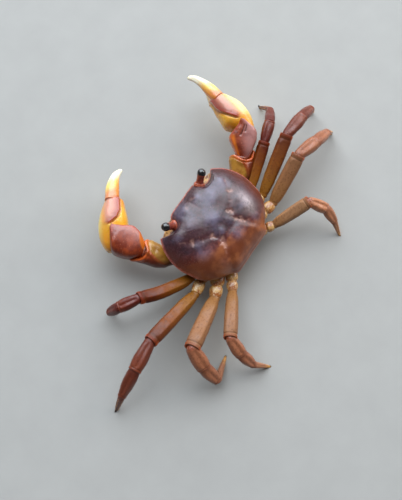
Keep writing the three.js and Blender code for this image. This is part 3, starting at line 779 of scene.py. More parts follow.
# Walking legs -----------------------------------------------------------------------
# Eight legs of hard, lacquered shell tubes: a short hip, a long upper leg, a knee piece,
# a shin and a horny toe. Each joint turns on two pegs inside a collar, and soft skin
# closes the gap.
LEGS = {
    # hip root, upper leg root, girth, bow to the left, then length, turn and rise of four joints
    "left_2": [
        (9.2, -0.2, 5.8), (13.4, 1.9, 6.0), 0.9, 0.8,
        (16.35, -29.6, 16.3), (5.66, -32.9, -10.2), (5.27, -48.3, -56.5), (5.35, -155.3, -76.3),
    ],
    "left_3": [
        (9.4, 3.2, 5.3), (17.0, 4.9, 6.0), 1.0, 0.0,
        (18.3, -6.3, 15.9), (8.24, 5.6, -8.4), (8.07, 4.1, -31.4), (6.63, 2.8, -57.6),
    ],
    "left_4": [
        (8.8, 6.6, 4.9), (15.0, 9.6, 5.4), 1.1, 0.0,
        (16.79, 11.4, 22.4), (6.42, 69.0, -34.1), (5.96, 85.5, -42.1), (7.7, -164.3, -33.1),
    ],
    "left_5": [
        (6.4, 9.0, 4.7), (11.0, 12.4, 5.3), 0.94, 0.0,
        (14.3, 30.3, 20.9), (5.53, 72.0, -32.8), (5.45, 91.4, -44.2), (5.53, 123.7, -40.6),
    ],
    "right_2": [
        (-9.2, -0.2, 5.8), (-13.5, 1.4, 6.5), 0.84, 0.0,
        (14.42, -163.5, 15.7), (5.78, -161.1, 10.0), (7.83, -152.4, -41.6), (7.52, -111.9, -55.5),
    ],
    "right_3": [
        (-9.4, 3.2, 5.3), (-14.9, 4.8, 6.0), 0.94, 0.0,
        (17.74, -169.0, 21.8), (7.66, 177.3, -12.1), (7.44, 179.6, -42.2), (6.32, -180.0, -71.7),
    ],
    "right_4": [
        (-8.8, 6.6, 4.9), (-14.8, 8.2, 5.5), 1.0, 0.0,
        (14.92, -176.1, 26.7), (6.86, 165.1, -10.1), (8.14, 175.6, -41.5), (6.32, 172.0, -62.4),
    ],
    "right_5": [
        (-6.4, 9.0, 4.7), (-10.0, 11.6, 5.3), 0.88, 0.0,
        (11.69, 152.4, 27.0), (5.54, 109.8, -28.0), (5.2, 82.9, -47.0), (5.22, 70.8, -53.5),
    ],
}
# Each joint's stations: share of its length, half width, half height
HIP = [
    (0.0, 1.5, 1.4), (0.3, 1.8, 1.6), (0.48, 1.6, 1.45), (0.56, 1.2, 1.15),
    (0.64, 1.55, 1.45), (0.82, 1.6, 1.45), (1.0, 1.3, 1.25),
]
UPPER = [
    (0.0, 1.15, 1.1), (0.03, 1.32, 1.2), (0.05, 1.18, 1.12), (0.09, 1.42, 1.3), (0.25, 1.75, 1.55),
    (0.62, 1.95, 1.65), (0.86, 1.95, 1.6), (0.93, 1.88, 1.52), (1.0, 1.8, 1.45),
]
KNEE = [
    (-0.1, 1.0, 0.9), (0.0, 1.4, 1.15), (0.1, 1.55, 1.25), (0.3, 1.72, 1.38),
    (0.65, 1.9, 1.52), (0.9, 1.75, 1.42), (1.0, 1.66, 1.3),
]
SHIN = [
    (-0.08, 1.2, 0.95), (0.02, 1.5, 1.1), (0.12, 1.62, 1.16), (0.3, 1.68, 1.22),
    (0.6, 1.56, 1.16), (0.9, 1.22, 0.96), (1.0, 1.1, 0.88),
]
TOE = [
    (-0.04, 0.7, 0.6), (0.02, 0.88, 0.7), (0.06, 0.92, 0.76), (0.2, 0.85, 0.75),
    (0.6, 0.62, 0.6), (1.0, 0.36, 0.38), (1.12, 0.27, 0.3),
]
REAR_SHARE = {"left_3": 0.1, "left_4": 0.65, "left_5": 0.65, "right_3": 0.1, "right_4": 0.65, "right_5": 1.0}
COLLAR_DEPTH = 0.6
SKIN_REACH = {"hip": 0.9, "upper": 1.1, "knee": 0.95, "shin": 0.7}  # soft skin past each joint's far end
TOE_SPINE, TOE_SPINE_SPACING, TOE_SPINE_ROWS, LOWEST_SPINE = 0.42, 0.62, 5, 0.7
LEG_HAIR, LEG_HAIR_SPACING = 0.55, 0.42
TOP, BOTTOM = math.pi / 2, 1.5 * math.pi


def between(root, end):
    """Length, turn and rise of the way from one place to another."""
    span = np.array(end, float) - np.array(root, float)
    length = float(np.linalg.norm(span))
    return length, math.degrees(math.atan2(span[1], span[0])), math.degrees(math.asin(span[2] / length))


def crest(a, at, width):
    """1 along one line of a tube, falling away round it."""
    return bell((a - at + math.pi) % (2 * math.pi) - math.pi, width)


def collar(t, rise, seat=0.945):
    """Groove, then a lip that stands round the next joint."""
    lip = 0.6 * slope(t, seat, seat + 0.02) * (1 - 0.5 * slope(t, seat + 0.03, 1.0))
    return rise * (lip - bell(t - seat + 0.02, 0.014))


def away_from_ends(t, near=0.2, far=0.15):
    return slope(t, 0.06, near) * slope(1 - t, 0.07, far)


LEG_RELIEF = {
    "hip": None,
    "upper": lambda t, a, x: collar(t, 0.09) + away_from_ends(t) * (
        0.2 * crest(a, TOP - 0.45, 0.2) - 0.08 * crest(a, TOP + 0.35, 0.35) + 0.12 * crest(a, BOTTOM, 0.5)),
    "knee": lambda t, a, x: 0.6 * collar(t, 0.1) + away_from_ends(t, 0.3) * (
        0.15 * crest(a, TOP - 0.5, 0.2) - 0.17 * crest(a, TOP - 0.05, 0.2)
        + 0.12 * crest(a, TOP + 0.6, 0.25)),
    "shin": lambda t, a, x: 0.5 * collar(t, 0.1) + away_from_ends(t, 0.3) * (
        0.12 * crest(a, TOP - 0.4, 0.2) - 0.14 * crest(a, TOP + 0.1, 0.2) + 0.08 * crest(a, TOP + 0.7, 0.25)),
    "toe": lambda t, a, x: 0.05 * np.cos(5 * a) * slope(t, 0.05, 0.2) * slope(1 - t, 0.0, 0.4),
}


def leg_finish(name, seed, gloss, browns, ring, lobe, dark, rear_leg, tips=None):
    """Three browns along the joint, a ring and an orange lobe at its end, dark mottling, and
    a paler brown on the rear legs. Tips are a toe's end colours, in front and on the rear legs."""
    f = Finish(name)
    along, up, side = f.field("along"), f.field("up"), f.field("side")
    blotch, speck = f.cloud(2.4, 4.0, seed), f.cloud(0.5, 3.0, seed + 0.2)
    run, rear = along + (blotch - 0.5) * 0.5, f.field("rear")
    near, middle, far = browns
    colour = f.coats(
        f.mix(run.rise(0.1, 0.6), near, middle),
        (run.rise(0.5, 1.0), far),
        (rear * (run.rise(-0.3, 0.5) * 0.4 + 0.45), rear_leg),
    )
    if tips:
        colour = f.mix(along.rise(0.55, 0.9) * 0.8, colour, f.mix(rear.rise(0.3, 0.7), *tips))
    colour = f.coats(
        colour,
        (up.rise(-0.1, -0.9) * 0.6, dye(206, 158, 88)),
        (speck.rise(0.5, 0.7) * 0.45, dark),
        (f.pits(0.5, seed).rise(0.22, 0.1) * blotch.rise(0.45, 0.65) * 0.4, ring),
        (along.rise(0.95, 0.97) * 0.45, ring),
        (abs(along - 0.925).rise(0.018, 0.004) * 0.6, dark),
        (along.rise(0.9, 0.96) * abs(side).rise(0.7, 1.0) * 0.8, lobe),
    )
    grain = f.pits(0.22, seed).rise(0.0, 0.35) * 0.6 + f.cloud(0.3, 5.0, seed)
    return f.horn(colour, 0.4 + (speck - 0.5) * 0.24, grain, 0.045, {
        "Coat Weight": blotch.rise(0.42, 0.62) * gloss, "Coat Roughness": 0.26,
        "Specular IOR Level": 0.6 * gloss,
    })


f = Finish("rosy_joint_skin")
wrinkle = f.cloud(0.35, 5.0)
colour = f.mix(wrinkle.rise(0.35, 0.65), dye(112, 46, 26), dye(160, 84, 52))
skin_material = f.horn(
    colour, 0.42 + (wrinkle - 0.5) * 0.2, wrinkle, 0.06, {"Coat Weight": 0.4, "Coat Roughness": 0.2})
f = Finish("straw_hip_shell")
blotch, speck = f.cloud(1.8, 4.0), f.cloud(0.4, 3.0, 0.2)
colour = f.coats(
    f.mix(blotch.rise(0.4, 0.62), dye(208, 160, 92), dye(166, 96, 36)),
    (f.field("up").rise(0.5, 1.0) * blotch.rise(0.45, 0.6) * 0.5, dye(140, 74, 28)),
    (speck.rise(0.5, 0.7) * 0.6, dye(236, 214, 178)),
)
hip_material = f.horn(
    colour, 0.34 + (speck - 0.5) * 0.2, speck, 0.04, {"Coat Weight": 0.5, "Coat Roughness": 0.2})
upper_material = leg_finish(
    "ochre_upper_leg", 0.1, 0.3, (dye(138, 86, 20), dye(120, 60, 14), dye(84, 26, 8)),
    ring=dye(122, 46, 22), lobe=dye(190, 84, 32), dark=dye(78, 36, 12), rear_leg=dye(164, 120, 84))
lower_material = leg_finish(
    "brick_lower_leg", 0.5, 0.55, (dye(92, 30, 18), dye(98, 34, 18), dye(112, 44, 20)),
    ring=dye(124, 50, 30), lobe=dye(150, 70, 34), dark=dye(64, 20, 12), rear_leg=dye(190, 124, 86))
toe_material = leg_finish(
    "brown_toe", 0.9, 0.5, (dye(104, 42, 22), dye(92, 38, 20), dye(84, 40, 22)),
    ring=dye(120, 64, 34), lobe=dye(140, 78, 40), dark=dye(58, 22, 14), rear_leg=dye(196, 136, 100),
    tips=(dye(60, 34, 22), dye(212, 152, 70)))


def skin_ball(at, axes, reach, shoulder, middle, smooth, pucker, seed):
    """Puckered soft skin round a hinge, `reach` millimetres each way along the limb. Shoulder
    and middle are its half width and half height, as shares of the reach."""
    shares = zip((-1, -0.5, 0, 0.5, 1), ((0.5, 0.5), shoulder, middle, shoulder, (0.5, 0.5)))
    line = [(x * reach, wide * reach, high * reach) for x, (wide, high) in shares]
    depth, turns = pucker
    ball = tube(line, smooth, smooth, 2.0, lambda t, a, x: depth * np.cos(x * turns))
    return shell_of(ball, at, axes, rough=0.06, seed=seed)


def toe_spines(line, length, at, axes):
    """Rows round a toe, where its spines stand."""
    flat, t = np.array(line), np.linspace(0.12, 0.92, 12)
    wide, high = (np.interp(t * length, flat[:, 0], flat[:, c]) for c in (1, 2))
    rows = []
    for angle in (np.arange(TOE_SPINE_ROWS) + 0.5) * 2 * math.pi / TOE_SPINE_ROWS:
        cos, sin = math.cos(angle), math.sin(angle)
        row = at + np.stack([t * length, wide * cos * 0.95, high * sin * 0.95], -1) @ axes
        row = row[row[:, 2] > LOWEST_SPINE]
        rows.append((row, np.tile(np.array([0.45, cos, sin]) @ axes, (len(row), 1))))
    return rows


leg_parts = [  # word, stations, slot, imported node, material, rings, depth of its open collar
    ("hip", HIP, "coxa_shell", "coxa", hip_material, 56, COLLAR_DEPTH),
    ("upper", UPPER, "leg_upper_shell", "merus", upper_material, 84, COLLAR_DEPTH),
    ("knee", KNEE, "leg_lower_shell", "carpus", lower_material, 56, 0.0),
    ("shin", SHIN, "leg_lower_shell", "propodus", lower_material, 56, 0.0),
    ("toe", TOE, "leg_tip_shell", "dactylus", toe_material, 56, 0.0),
]
spine_rows, hair_beds = [], []
for number, (leg, (at, root, girth, bow, *joints)) in enumerate(LEGS.items()):
    soft = []
    share = REAR_SHARE.get(leg, 0.0)
    for part, (length, turn, rise) in zip(leg_parts, [between(at, root)] + joints):
        word, profile, slot, node, material, rings, cup = part
        axes = limb_axes(turn, rise)
        bend = bow if word == "upper" else 0.0
        line = [
            (t * length, w * girth, h * girth, 0.0, bend * math.sin(math.pi * min(max(t, 0), 1)))
            for t, w, h in profile
        ]
        made = tube(line, 44, rings, 2.3, LEG_RELIEF[word], lambda t, a, x: {"rear": share}, cup=cup)
        shell = shell_of(made, at, axes, rough=0.018, seed=50 + number)
        fit(piece_of(f"{word}_{leg}", shell, material), slot, f"{node}_{leg}")
        if word in ("knee", "shin", "toe"):
            # hairs stand along both edges and lean to the toe
            fringe = 0.9 * slope(np.abs(shell[2]["side"]), 0.8, 1.0) * slope(shell[2]["along"], 0.15, 0.4)
            hair_beds.append((shell, fringe, axes[0]))
        if word == "toe":
            spine_rows += toe_spines(line, length, np.array(at), axes)
        at = at + axes[0] * length
        if word in SKIN_REACH:
            reach = SKIN_REACH[word] * girth
            soft.append(skin_ball(at, axes, reach, (0.95, 0.9), (1.05, 0.95), 24, (0.04, 14), 70))
    fit(piece_of(f"joint_skin_{leg}", joined(soft), skin_material), "coxa_shell")


def speckled(name, pale, deep, rough, depth, shine, size=0.3):
    """Plain speckled horn, for spines, hairs and teeth."""
    f = Finish(name)
    speck = f.cloud(size, 3.0)
    return f.horn(f.mix(speck, pale, deep), rough + (speck - 0.5) * 0.2, speck, depth, {"Coat Weight": shine})


def cone(sides, bands, top, foot, tall=1.0):
    """Shape for a Growth: an open cone of the given radii, which its size scales."""
    sizes = {"Vertices": sides, "Side Segments": bands, "Depth": tall}
    sizes.update({"Radius Top": top, "Radius Bottom": foot})
    return "GeometryNodeMeshCone", {"fill_type": "NONE"}, sizes


spine_material = speckled("amber_spine", dye(222, 168, 96), dye(170, 100, 50), 0.3, 0.01, 0.4)
hair_material = speckled("brown_hair", dye(150, 104, 62), dye(96, 58, 36), 0.5, 0.005, 0.1)
spines = Growth("spines_in_rows", *cone(6, 2, 0.02, 0.17), on_rows=True).grow(
    "toe_spines", rows_of(spine_rows), spine_material, 21, TOE_SPINE_SPACING, TOE_SPINE, 0.6)
fit(spines, "leg_tip_shell")


def hair_coat(name, beds, spacing, size, seed):
    """Short hairs on several shells, with a map that keeps each hair near its root's place."""
    shells = []
    for number, ((points, faces, fields), thick, _) in enumerate(beds):
        fields = dict(fields, thick=thick, cell=np.full(len(thick), float(number)))
        shells.append((points, faces, fields))
    plot = piece_of("plot_" + name, joined(shells), hair_material)
    ways = np.vstack([np.tile(way, (len(thick), 1)) for _, thick, way in beds])
    note_on(plot.data, "lean", ways, "FLOAT_VECTOR")
    growth = Growth("hairs_on_surface", *cone(3, 1, 0.0, 0.03), on_rows=False)
    coat = growth.grow(name, plot.data, hair_material, seed, spacing, size, stand=0.7)
    bpy.data.objects.remove(plot)
    mesh = coat.data
    value = {}
    for field in ("along", "up", "side", "cell"):
        value[field] = np.zeros(len(mesh.vertices), np.float32)
        mesh.attributes[field].data.foreach_get("value", value[field])
    # one cell of the map for each shell: round it from side to side, along it upwards
    wide = math.ceil(math.sqrt(len(beds)))
    around = np.arctan2(value["up"], value["side"]) / (2 * math.pi) + 0.5
    corner = np.arange(len(mesh.vertices)) % 6 * math.pi / 3
    u = (value["cell"] % wide + 0.05 + 0.9 * around) / wide + 0.0015 * np.cos(corner)
    v = (value["cell"] // wide + 0.05 + 0.9 * value["along"]) / wide + 0.0015 * np.sin(corner)
    loops = np.zeros(len(mesh.loops), np.int32)
    mesh.loops.foreach_get("vertex_index", loops)
    places = np.stack([u, v], -1)[loops].astype(np.float32)
    mesh.uv_layers.new(name="OFBake").data.foreach_set("uv", places.ravel())
    return coat


fit(hair_coat("leg_hairs", hair_beds, LEG_HAIR_SPACING, LEG_HAIR, 22), "leg_lower_shell")


# Pincers ----------------------------------------------------------------------------
# Two strong claws: a hip, a three-edged arm with a flared end, a blocky wrist and a deep
# palm with one fixed finger. The other finger is hinged on top, and both have blunt
# teeth. The palms are thick yellow shell with a rosy pad on top.
CLAWS = {
    # Stations are along, half width, half height, lift, shift outwards. Pad edges are along,
    # outwards. Glow is how much painted highlight the palm and finger carry and how strong the
    # wrist's painted sheen is; the next number is the side of the wrist's top where that painted
    # sheen lies, and ember where the wrist's orange part starts and ends, how it slants, and how
    # far along it ends.
    "left": dict(
        side=1, glow=0.15, dull=-1.0, ember=(0.55, 0.8, 3.0, 0.92), fissure=0.0,
        hip=(6.6, -4.6, 6.2), arm=(12.4, -3.8, 6.4), knee=(15.6, -12.4, 8.6), cuff=(17.0, -20.8, 9.8),
        wrist=[
            (-0.3, 1.3, 1.4, 0.0, 0.0), (0.6, 2.1, 2.1, 0.0, 0.15), (1.8, 3.1, 2.9, 0.0, 0.25),
            (3.0, 3.85, 3.3, 0.0, 0.1), (5.0, 4.4, 3.5, 0.1, 0.0), (6.5, 4.15, 3.5, 0.4, 0.3),
            (7.7, 3.5, 3.3, 0.9, 0.4), (8.6, 2.6, 2.6, 1.6, -0.05), (9.3, 1.75, 1.9, 2.3, -0.5),
            (9.9, 1.0, 1.2, 3.0, -0.95), (10.4, 0.5, 0.6, 3.6, -1.3),
        ],
        palm_at=(18.9, -20.4, 9.6), turn=-148.6,
        palm=[
            (-2.3, 0.6, 1.3, -0.6, 0.2), (-1.7, 1.3, 2.1, -0.6, 0.28), (-0.4, 2.25, 3.0, -0.7, 0.25),
            (1.5, 3.23, 3.7, -0.7, 0.05), (4.2, 3.88, 4.35, -0.45, -0.2), (6.8, 3.65, 4.5, -0.35, -0.2),
            (9.3, 3.0, 4.3, -0.4, -0.1), (11.1, 2.45, 4.0, -0.5, -0.15), (11.8, 2.15, 3.6, -0.8, -0.1),
            (12.2, 1.95, 2.6, -1.8, 0.0),
        ],
        thumb=[
            (13.0, 1.65, 1.9, -2.6, 0.35), (14.6, 1.35, 1.5, -3.0, 0.85), (16.6, 1.0, 1.1, -3.4, 1.05),
            (18.2, 0.7, 0.7, -3.5, 0.75), (19.0, 0.45, 0.45, -3.4, 0.4),
        ],
        pad_in=[(3.8, 0.9), (4.6, 0.0), (6.2, -1.5), (8.0, -1.98), (9.8, -1.8), (12.4, -1.35)],
        pad_out=[(3.8, 1.1), (5.9, 1.4), (8.4, 1.75), (12.4, 1.7)],
        finger_at=(11.75, 0.35, 2.0), finger_turn=-4, finger_rise=-20.5,
        finger=[
            (-1.2, 1.7, 1.5, 0.0, 0.1), (0.3, 1.88, 1.8, 0.0, 0.1), (1.5, 1.88, 1.82, 0.1, 0.28),
            (3.0, 1.76, 1.7, 0.35, 0.4), (4.7, 1.5, 1.45, 0.5, 0.45), (6.7, 1.18, 1.15, 0.45, 0.35),
            (7.8, 1.02, 0.98, 0.3, 0.12), (8.6, 0.88, 0.85, 0.15, -0.15), (9.2, 0.7, 0.68, 0.0, -0.42),
            (9.6, 0.5, 0.5, 0.0, -0.6),
        ],
    ),
    "right": dict(
        side=-1, glow=1.0, dull=0.8, ember=(0.42, 0.62, 0.0, 0.62), fissure=1.0,
        hip=(-6.6, -4.6, 6.2), arm=(-13.2, -2.2, 6.6), knee=(-19.9, -5.4, 9.4), cuff=(-27.2, -9.0, 11.0),
        wrist=[
            (-0.3, 1.3, 1.4, 0.0, 0.3), (0.5, 1.75, 2.0, 0.0, 0.4), (1.6, 2.35, 2.7, 0.0, 0.25),
            (3.0, 3.0, 3.2, 0.0, -0.05), (4.9, 3.7, 3.4, 0.1, -0.24), (6.8, 3.15, 3.3, 0.5, 0.15),
            (7.9, 2.45, 2.8, 1.1, 0.2), (8.6, 1.6, 2.1, 1.9, -0.2), (9.2, 1.0, 1.3, 2.8, -0.6),
            (9.7, 0.45, 0.6, 3.5, -0.9),
        ],
        palm_at=(-26.6, -8.2, 10.6), turn=-105.5,
        palm=[
            (-1.7, 0.6, 1.3, -0.6, 0.5), (-1.2, 1.3, 2.0, -0.6, 0.55), (0.0, 2.0, 3.0, -0.7, 0.7),
            (2.0, 2.8, 3.7, -0.7, 0.85), (4.4, 3.9, 4.35, -0.45, 0.2), (7.0, 3.65, 4.5, -0.35, 0.35),
            (9.2, 3.15, 4.3, -0.4, 0.25), (11.0, 2.5, 4.0, -0.5, 0.1), (12.3, 2.0, 3.5, -0.8, -0.15),
            (12.9, 1.8, 2.6, -1.8, -0.3),
        ],
        thumb=[
            (13.6, 1.6, 1.9, -2.7, 0.0), (15.0, 1.35, 1.4, -3.5, 0.5), (16.8, 1.0, 1.05, -4.0, 0.95),
            (18.4, 0.7, 0.7, -4.3, 1.1), (19.4, 0.4, 0.4, -4.3, 0.9),
        ],
        pad_in=[
            (3.1, 0.1), (3.7, -0.3), (4.6, -0.98), (6.6, -1.95), (8.1, -2.45), (9.8, -2.45), (13.0, -1.9),
        ],
        pad_out=[(3.1, 0.4), (5.8, 0.5), (9.1, 0.5), (13.0, 0.5)],
        finger_at=(12.45, 0.0, 2.0), finger_turn=4, finger_rise=-15.5,
        finger=[
            (-1.2, 1.6, 1.5, 0.0, 0.0), (0.3, 1.72, 1.78, 0.0, 0.0), (2.0, 1.7, 1.75, 0.15, 0.1),
            (3.8, 1.5, 1.6, 0.35, 0.18), (5.6, 1.2, 1.35, 0.5, 0.2), (7.4, 1.02, 1.05, 0.45, 0.12),
            (8.7, 0.92, 0.88, 0.3, -0.05), (9.7, 0.8, 0.7, 0.1, -0.35), (10.4, 0.6, 0.5, 0.0, -0.6),
        ],
    ),
}
CLAW_HIP = [
    (0.0, 1.8, 1.7), (0.3, 2.0, 1.9), (0.5, 1.7, 1.6), (0.6, 1.6, 1.5), (0.75, 1.85, 1.75), (1.0, 1.6, 1.6),
]
ARM = [
    (0.0, 1.2, 1.4, 0.0, 0.0), (0.18, 1.8, 2.0, 0.0, 0.1), (0.33, 2.6, 2.4, 0.0, 0.35),
    (0.58, 3.1, 2.6, 0.0, 0.4), (0.86, 3.25, 2.55, 0.0, 0.1), (0.96, 3.1, 2.4, 0.0, 0.1),
    (1.0, 2.95, 2.3, 0.0, 0.15),
]
HIP_COLLAR, ARM_COLLAR = 0.8, 1.1  # depths
PALM_SQUARE, TOOTH, TOOTH_SPACING = 2.35, 0.62, 0.78
PAD_RISE, RIM_RISE, GROOVE_DEPTH, RIDGE_RISE, FISSURE_DEPTH = 0.24, 0.12, 0.42, 0.16, 0.3


def pad_marks(c, a, x):
    """Shares of each palm spot in the raised pad, the groove along its sharp inner edge and
    the rim beside that, and how near the edge it is. The pad's outer edge is soft."""
    line = np.array(c["palm"])
    half, shift = (np.interp(x, line[:, 0], line[:, k]) for k in (1, 4))
    rounding = (np.abs(np.cos(a)) ** PALM_SQUARE + np.abs(np.sin(a)) ** PALM_SQUARE) ** (1 / PALM_SQUARE)
    outwards = shift + half * np.cos(a) / rounding
    inner, outer = (np.interp(x, *np.array(c[edge]).T) for edge in ("pad_in", "pad_out"))
    inside, left = outwards - inner, outer - outwards
    begun, end = x - c["pad_in"][0][0], slope(x - c["pad_in"][-1][0], 0.7, 0.2)
    above, after = slope(np.sin(a), -0.1, 0.3), slope(begun, -0.1, 0.8)
    pad = slope(inside, -0.05, 0.25) * slope(left, -2.2, 1.2) * slope(np.sin(a), 0.0, 0.4)
    return {
        "pad": pad * slope(begun, -0.3, 0.9) * end,
        "groove": bell(inside + 0.28, 0.26) * above * after * end,
        "rim": bell(inside - 0.18, 0.2) * above * after * end,
        "near_edge": bell(inside, 1.5),
    }


def claw_finish(name, seed, mixer, rough, grain, depth, glow=0.0):
    """Thick glossy shell. The mixer lays its colours, and glow is how much light sinks in."""
    f = Finish(name)
    blotch, speck = f.cloud(2.6, 4.0, seed), f.cloud(0.5, 3.0, seed + 0.2)
    colour = mixer(f, blotch, speck)
    height = f.pits(grain, seed).rise(0.0, 0.4) + f.cloud(0.4, 5.0, seed) * 0.8
    return f.horn(colour, rough + (speck - 0.5) * 0.2, height, depth, {
        "Coat Weight": 0.35, "Coat Roughness": 0.16, "Specular IOR Level": 0.5,
        "Subsurface Weight": glow, "Subsurface Scale": 0.9 * MM,
    })


def palm_colours(f, blotch, speck):
    out, along, up = f.field("outer"), f.field("along"), f.field("up")
    pad, near = f.field("pad"), f.field("near_edge") + (blotch - 0.5) * 0.4
    rosy = f.mix(near, dye(214, 150, 126), dye(158, 74, 62))
    rosy = f.mix(along.rise(0.4, 0.2) * 0.6, rosy, dye(166, 74, 50))
    return f.coats(
        f.mix(blotch.rise(0.3, 0.7), dye(238, 172, 52), dye(232, 156, 44)),
        # the outer face's paler yellow is partly its own colour and partly a painted highlight
        (out.rise(0.35, 0.95) * 0.85, dye(250, 216, 112)),
        (along.rise(0.26, 0.04) * 0.6, dye(222, 134, 34)),
        # the inner face's own orange-yellow, made brighter as painted light where the lamps leave it in shade
        (out.rise(-0.1, -0.6) * 0.7, dye(255, 186, 44)),
        (out.rise(-0.2, -0.7) * up.rise(-0.3, 0.5) * along.rise(0.45, 0.7) * 0.6, dye(232, 124, 36)),
        (up.rise(-0.6, -1.0) * 0.5, dye(246, 222, 160)),
        (along.rise(0.66, 0.85), dye(248, 224, 160)),
        (along.rise(0.85, 0.97), dye(252, 244, 222)),
        # painted highlight: a pale band on the palm's outer top, strongest on the right claw
        (f.field("pale") * 0.8, dye(252, 238, 176)),
        (pad.rise(0.0, 0.5) * 0.8, dye(234, 152, 84)),
        (pad.rise(0.3, 0.9), rosy),
        (f.field("rim") * 0.6, dye(196, 78, 52)),
        (f.field("groove") * 0.8, dye(150, 52, 16)),
    )


def finger_colours(f, blotch, speck):
    out = f.field("outer")
    # the pale share shifts the finger towards its paler tip colours, as a painted highlight
    run = f.field("along") + out * 0.1 + f.field("pale") * 0.1
    return f.coats(
        f.mix(run.rise(0.16, 0.42), dye(226, 144, 100), dye(254, 218, 120)),
        (run.rise(0.42, 0.76), dye(255, 244, 214)),
        (out.rise(-0.2, -0.9) * run.rise(0.8, 0.35) * 0.85, dye(236, 140, 44)),
        (run.rise(0.08, 0.04) * 0.7, dye(206, 104, 50)),
    )


def wrist_colours(f, blotch, speck):
    mottled = (blotch + (speck - 0.5) * 0.5).rise(0.35, 0.7)
    return f.coats(
        f.mix(mottled, dye(112, 36, 12), dye(152, 62, 24)),
        (f.pits(0.8).rise(0.2, 0.08) * 0.5, dye(196, 120, 84)),
        # painted sheen: a pale mauve veil of reflected light over part of the wrist's top
        (f.field("dull") * blotch.rise(0.1, 0.45) * 0.75, dye(194, 140, 134)),
        (f.field("ember") * 0.95, dye(224, 116, 28)),
        (f.field("up").rise(-0.2, -0.8) * 0.8, dye(190, 96, 34)),
        (f.field("ridge") * 0.6, dye(176, 78, 56)),
        (f.field("fissure") * 0.85, dye(58, 14, 10)),
    )


def arm_colours(f, blotch, speck):
    out, along = f.field("outer"), f.field("along")
    brick = f.mix(blotch.rise(0.4, 0.6), dye(176, 66, 20), dye(150, 52, 16))
    return f.coats(
        f.mix(blotch.rise(0.35, 0.65), dye(172, 122, 42), dye(142, 92, 28)),
        ((out + (along - 1) * 1.1).rise(-0.1, 0.12), brick),
        (out.rise(0.3, 0.8) * 0.9, dye(84, 30, 10)),
        ((along + (blotch - 0.5) * 0.2).rise(0.84, 0.98) * 0.8, dye(206, 92, 34)),
        (f.field("edge") * 0.5, dye(120, 66, 16)),
        (speck.rise(0.6, 0.75) * 0.35, dye(116, 54, 20)),
    )


palm_material = claw_finish("yellow_palm", 0.2, palm_colours, 0.3, 0.4, 0.007, 0.2)
finger_material = claw_finish("ivory_finger", 0.6, finger_colours, 0.26, 0.3, 0.007, 0.12)
wrist_material = claw_finish("brick_wrist", 0.4, wrist_colours, 0.36, 0.4, 0.02)
arm_material = claw_finish("ochre_arm", 0.8, arm_colours, 0.32, 0.35, 0.02)


def arm_edge(t, a):
    """The line between the two upper faces, which crosses from the outside to the top."""
    return crest(a, 0.35 + 1.0 * t, 0.13) * slope(t, 0.2, 0.45)


def arm_relief(t, a, x):
    """Three long edges, drawn out into lobes at the far end."""
    lobes = np.maximum(0, np.cos(3 * (a - TOP))) * slope(t, 0.7, 0.98)
    return 0.1 * slope(t, 0.93, 0.965) - 0.12 * bell(t - 0.9, 0.03) + 0.4 * lobes + 0.2 * arm_edge(t, a)


def flared(arm, length):
    """The arm, with its far rim longer on the faces that the wrist turns away from."""
    rings, marks = arm
    at = np.arctan2(marks["up"], marks["side"])
    longer = 0.3 * bell(at + 0.5, 0.7) + 0.06 * bell(at - 2.3, 0.5) - 0.06 * bell(at - 1.3, 0.5)
    reach = 1 + longer * slope(rings[..., 0], 0.5 * length, length)
    return rings * np.dstack([reach, 0 * reach + 1, 0 * reach + 1]), marks


def wrist_fissure(a, x):
    """Short sunk line on top, near the peak."""
    first = crest(a, TOP + 0.2, 0.06) * slope(x, 4.8, 5.6)
    second = crest(a, TOP - 0.02, 0.05) * slope(x, 6.0, 6.6)
    return (first + second) * slope(8.6 - x, 0, 0.7)


def wrist_ridge(a, x):
    """Raised line from the peak down the inner edge."""
    return crest(a, math.pi - 0.72, 0.12) * slope(x, 1.4, 3.0)


def wrist_relief(c, a, x):
    return RIDGE_RISE * wrist_ridge(a, x) - FISSURE_DEPTH * c["fissure"] * wrist_fissure(a, x)


def wrist_marks(c, t, a, x):
    start, end, slant, last = c["ember"]
    # painted sheen over the top of the wrist, towards the side that the claw's setting gives
    dull = slope(c["dull"] * np.cos(a) + 0.35 * t, -0.2, 0.7) * slope(np.sin(a), 0.1, 0.7)
    return {
        "ridge": np.maximum(wrist_ridge(a, x), slope(x, 8.8, 9.8)),
        "fissure": c["fissure"] * wrist_fissure(a, x),
        "dull": dull * (0.4 + 0.6 * c["glow"]),
        "ember": slope(slant * (0.3 - t) - np.cos(a), start, end) * slope(last - t, 0.0, 0.15),
    }


def palm_relief(c, a, x):
    pad = pad_marks(c, a, x)
    keel = 0.1 * crest(a, BOTTOM + 0.4, 0.5) * slope(x, 0.0, 3.0)
    return PAD_RISE * pad["pad"] + RIM_RISE * pad["rim"] - GROOVE_DEPTH * pad["groove"] + keel


def palm_marks(c, a, x):
    # painted highlight: a pale band along the outer top of the palm
    pale = c["glow"] * bell(a - 1.0, 0.75) * slope(x, 2.0, 5.0)
    return {"outer": np.cos(a), "pale": pale, **pad_marks(c, a, x)}


def finger_relief(t, a, x):
    """A low keel on top, between two grooves."""
    keel = 0.1 * crest(a, TOP, 0.3) - 0.06 * crest(a, TOP + 0.7, 0.15) - 0.06 * crest(a, TOP - 0.7, 0.15)
    return away_from_ends(t) * keel


def tooth_row(c, line, start, way, at, axes):
    """A row where teeth stand, under a finger or on top of a thumb."""
    flat, x = np.array(line), np.linspace(start, line[-1][0] - 0.6, 24)
    high, lift, shift = (np.interp(x, flat[:, 0], flat[:, k]) for k in (2, 3, 4))
    spots = np.stack([x, shift * c["side"], lift + way * (high - 0.1)], -1)
    return at + spots @ axes, np.tile(np.array([0.0, 0.0, way]) @ axes, (len(x), 1))


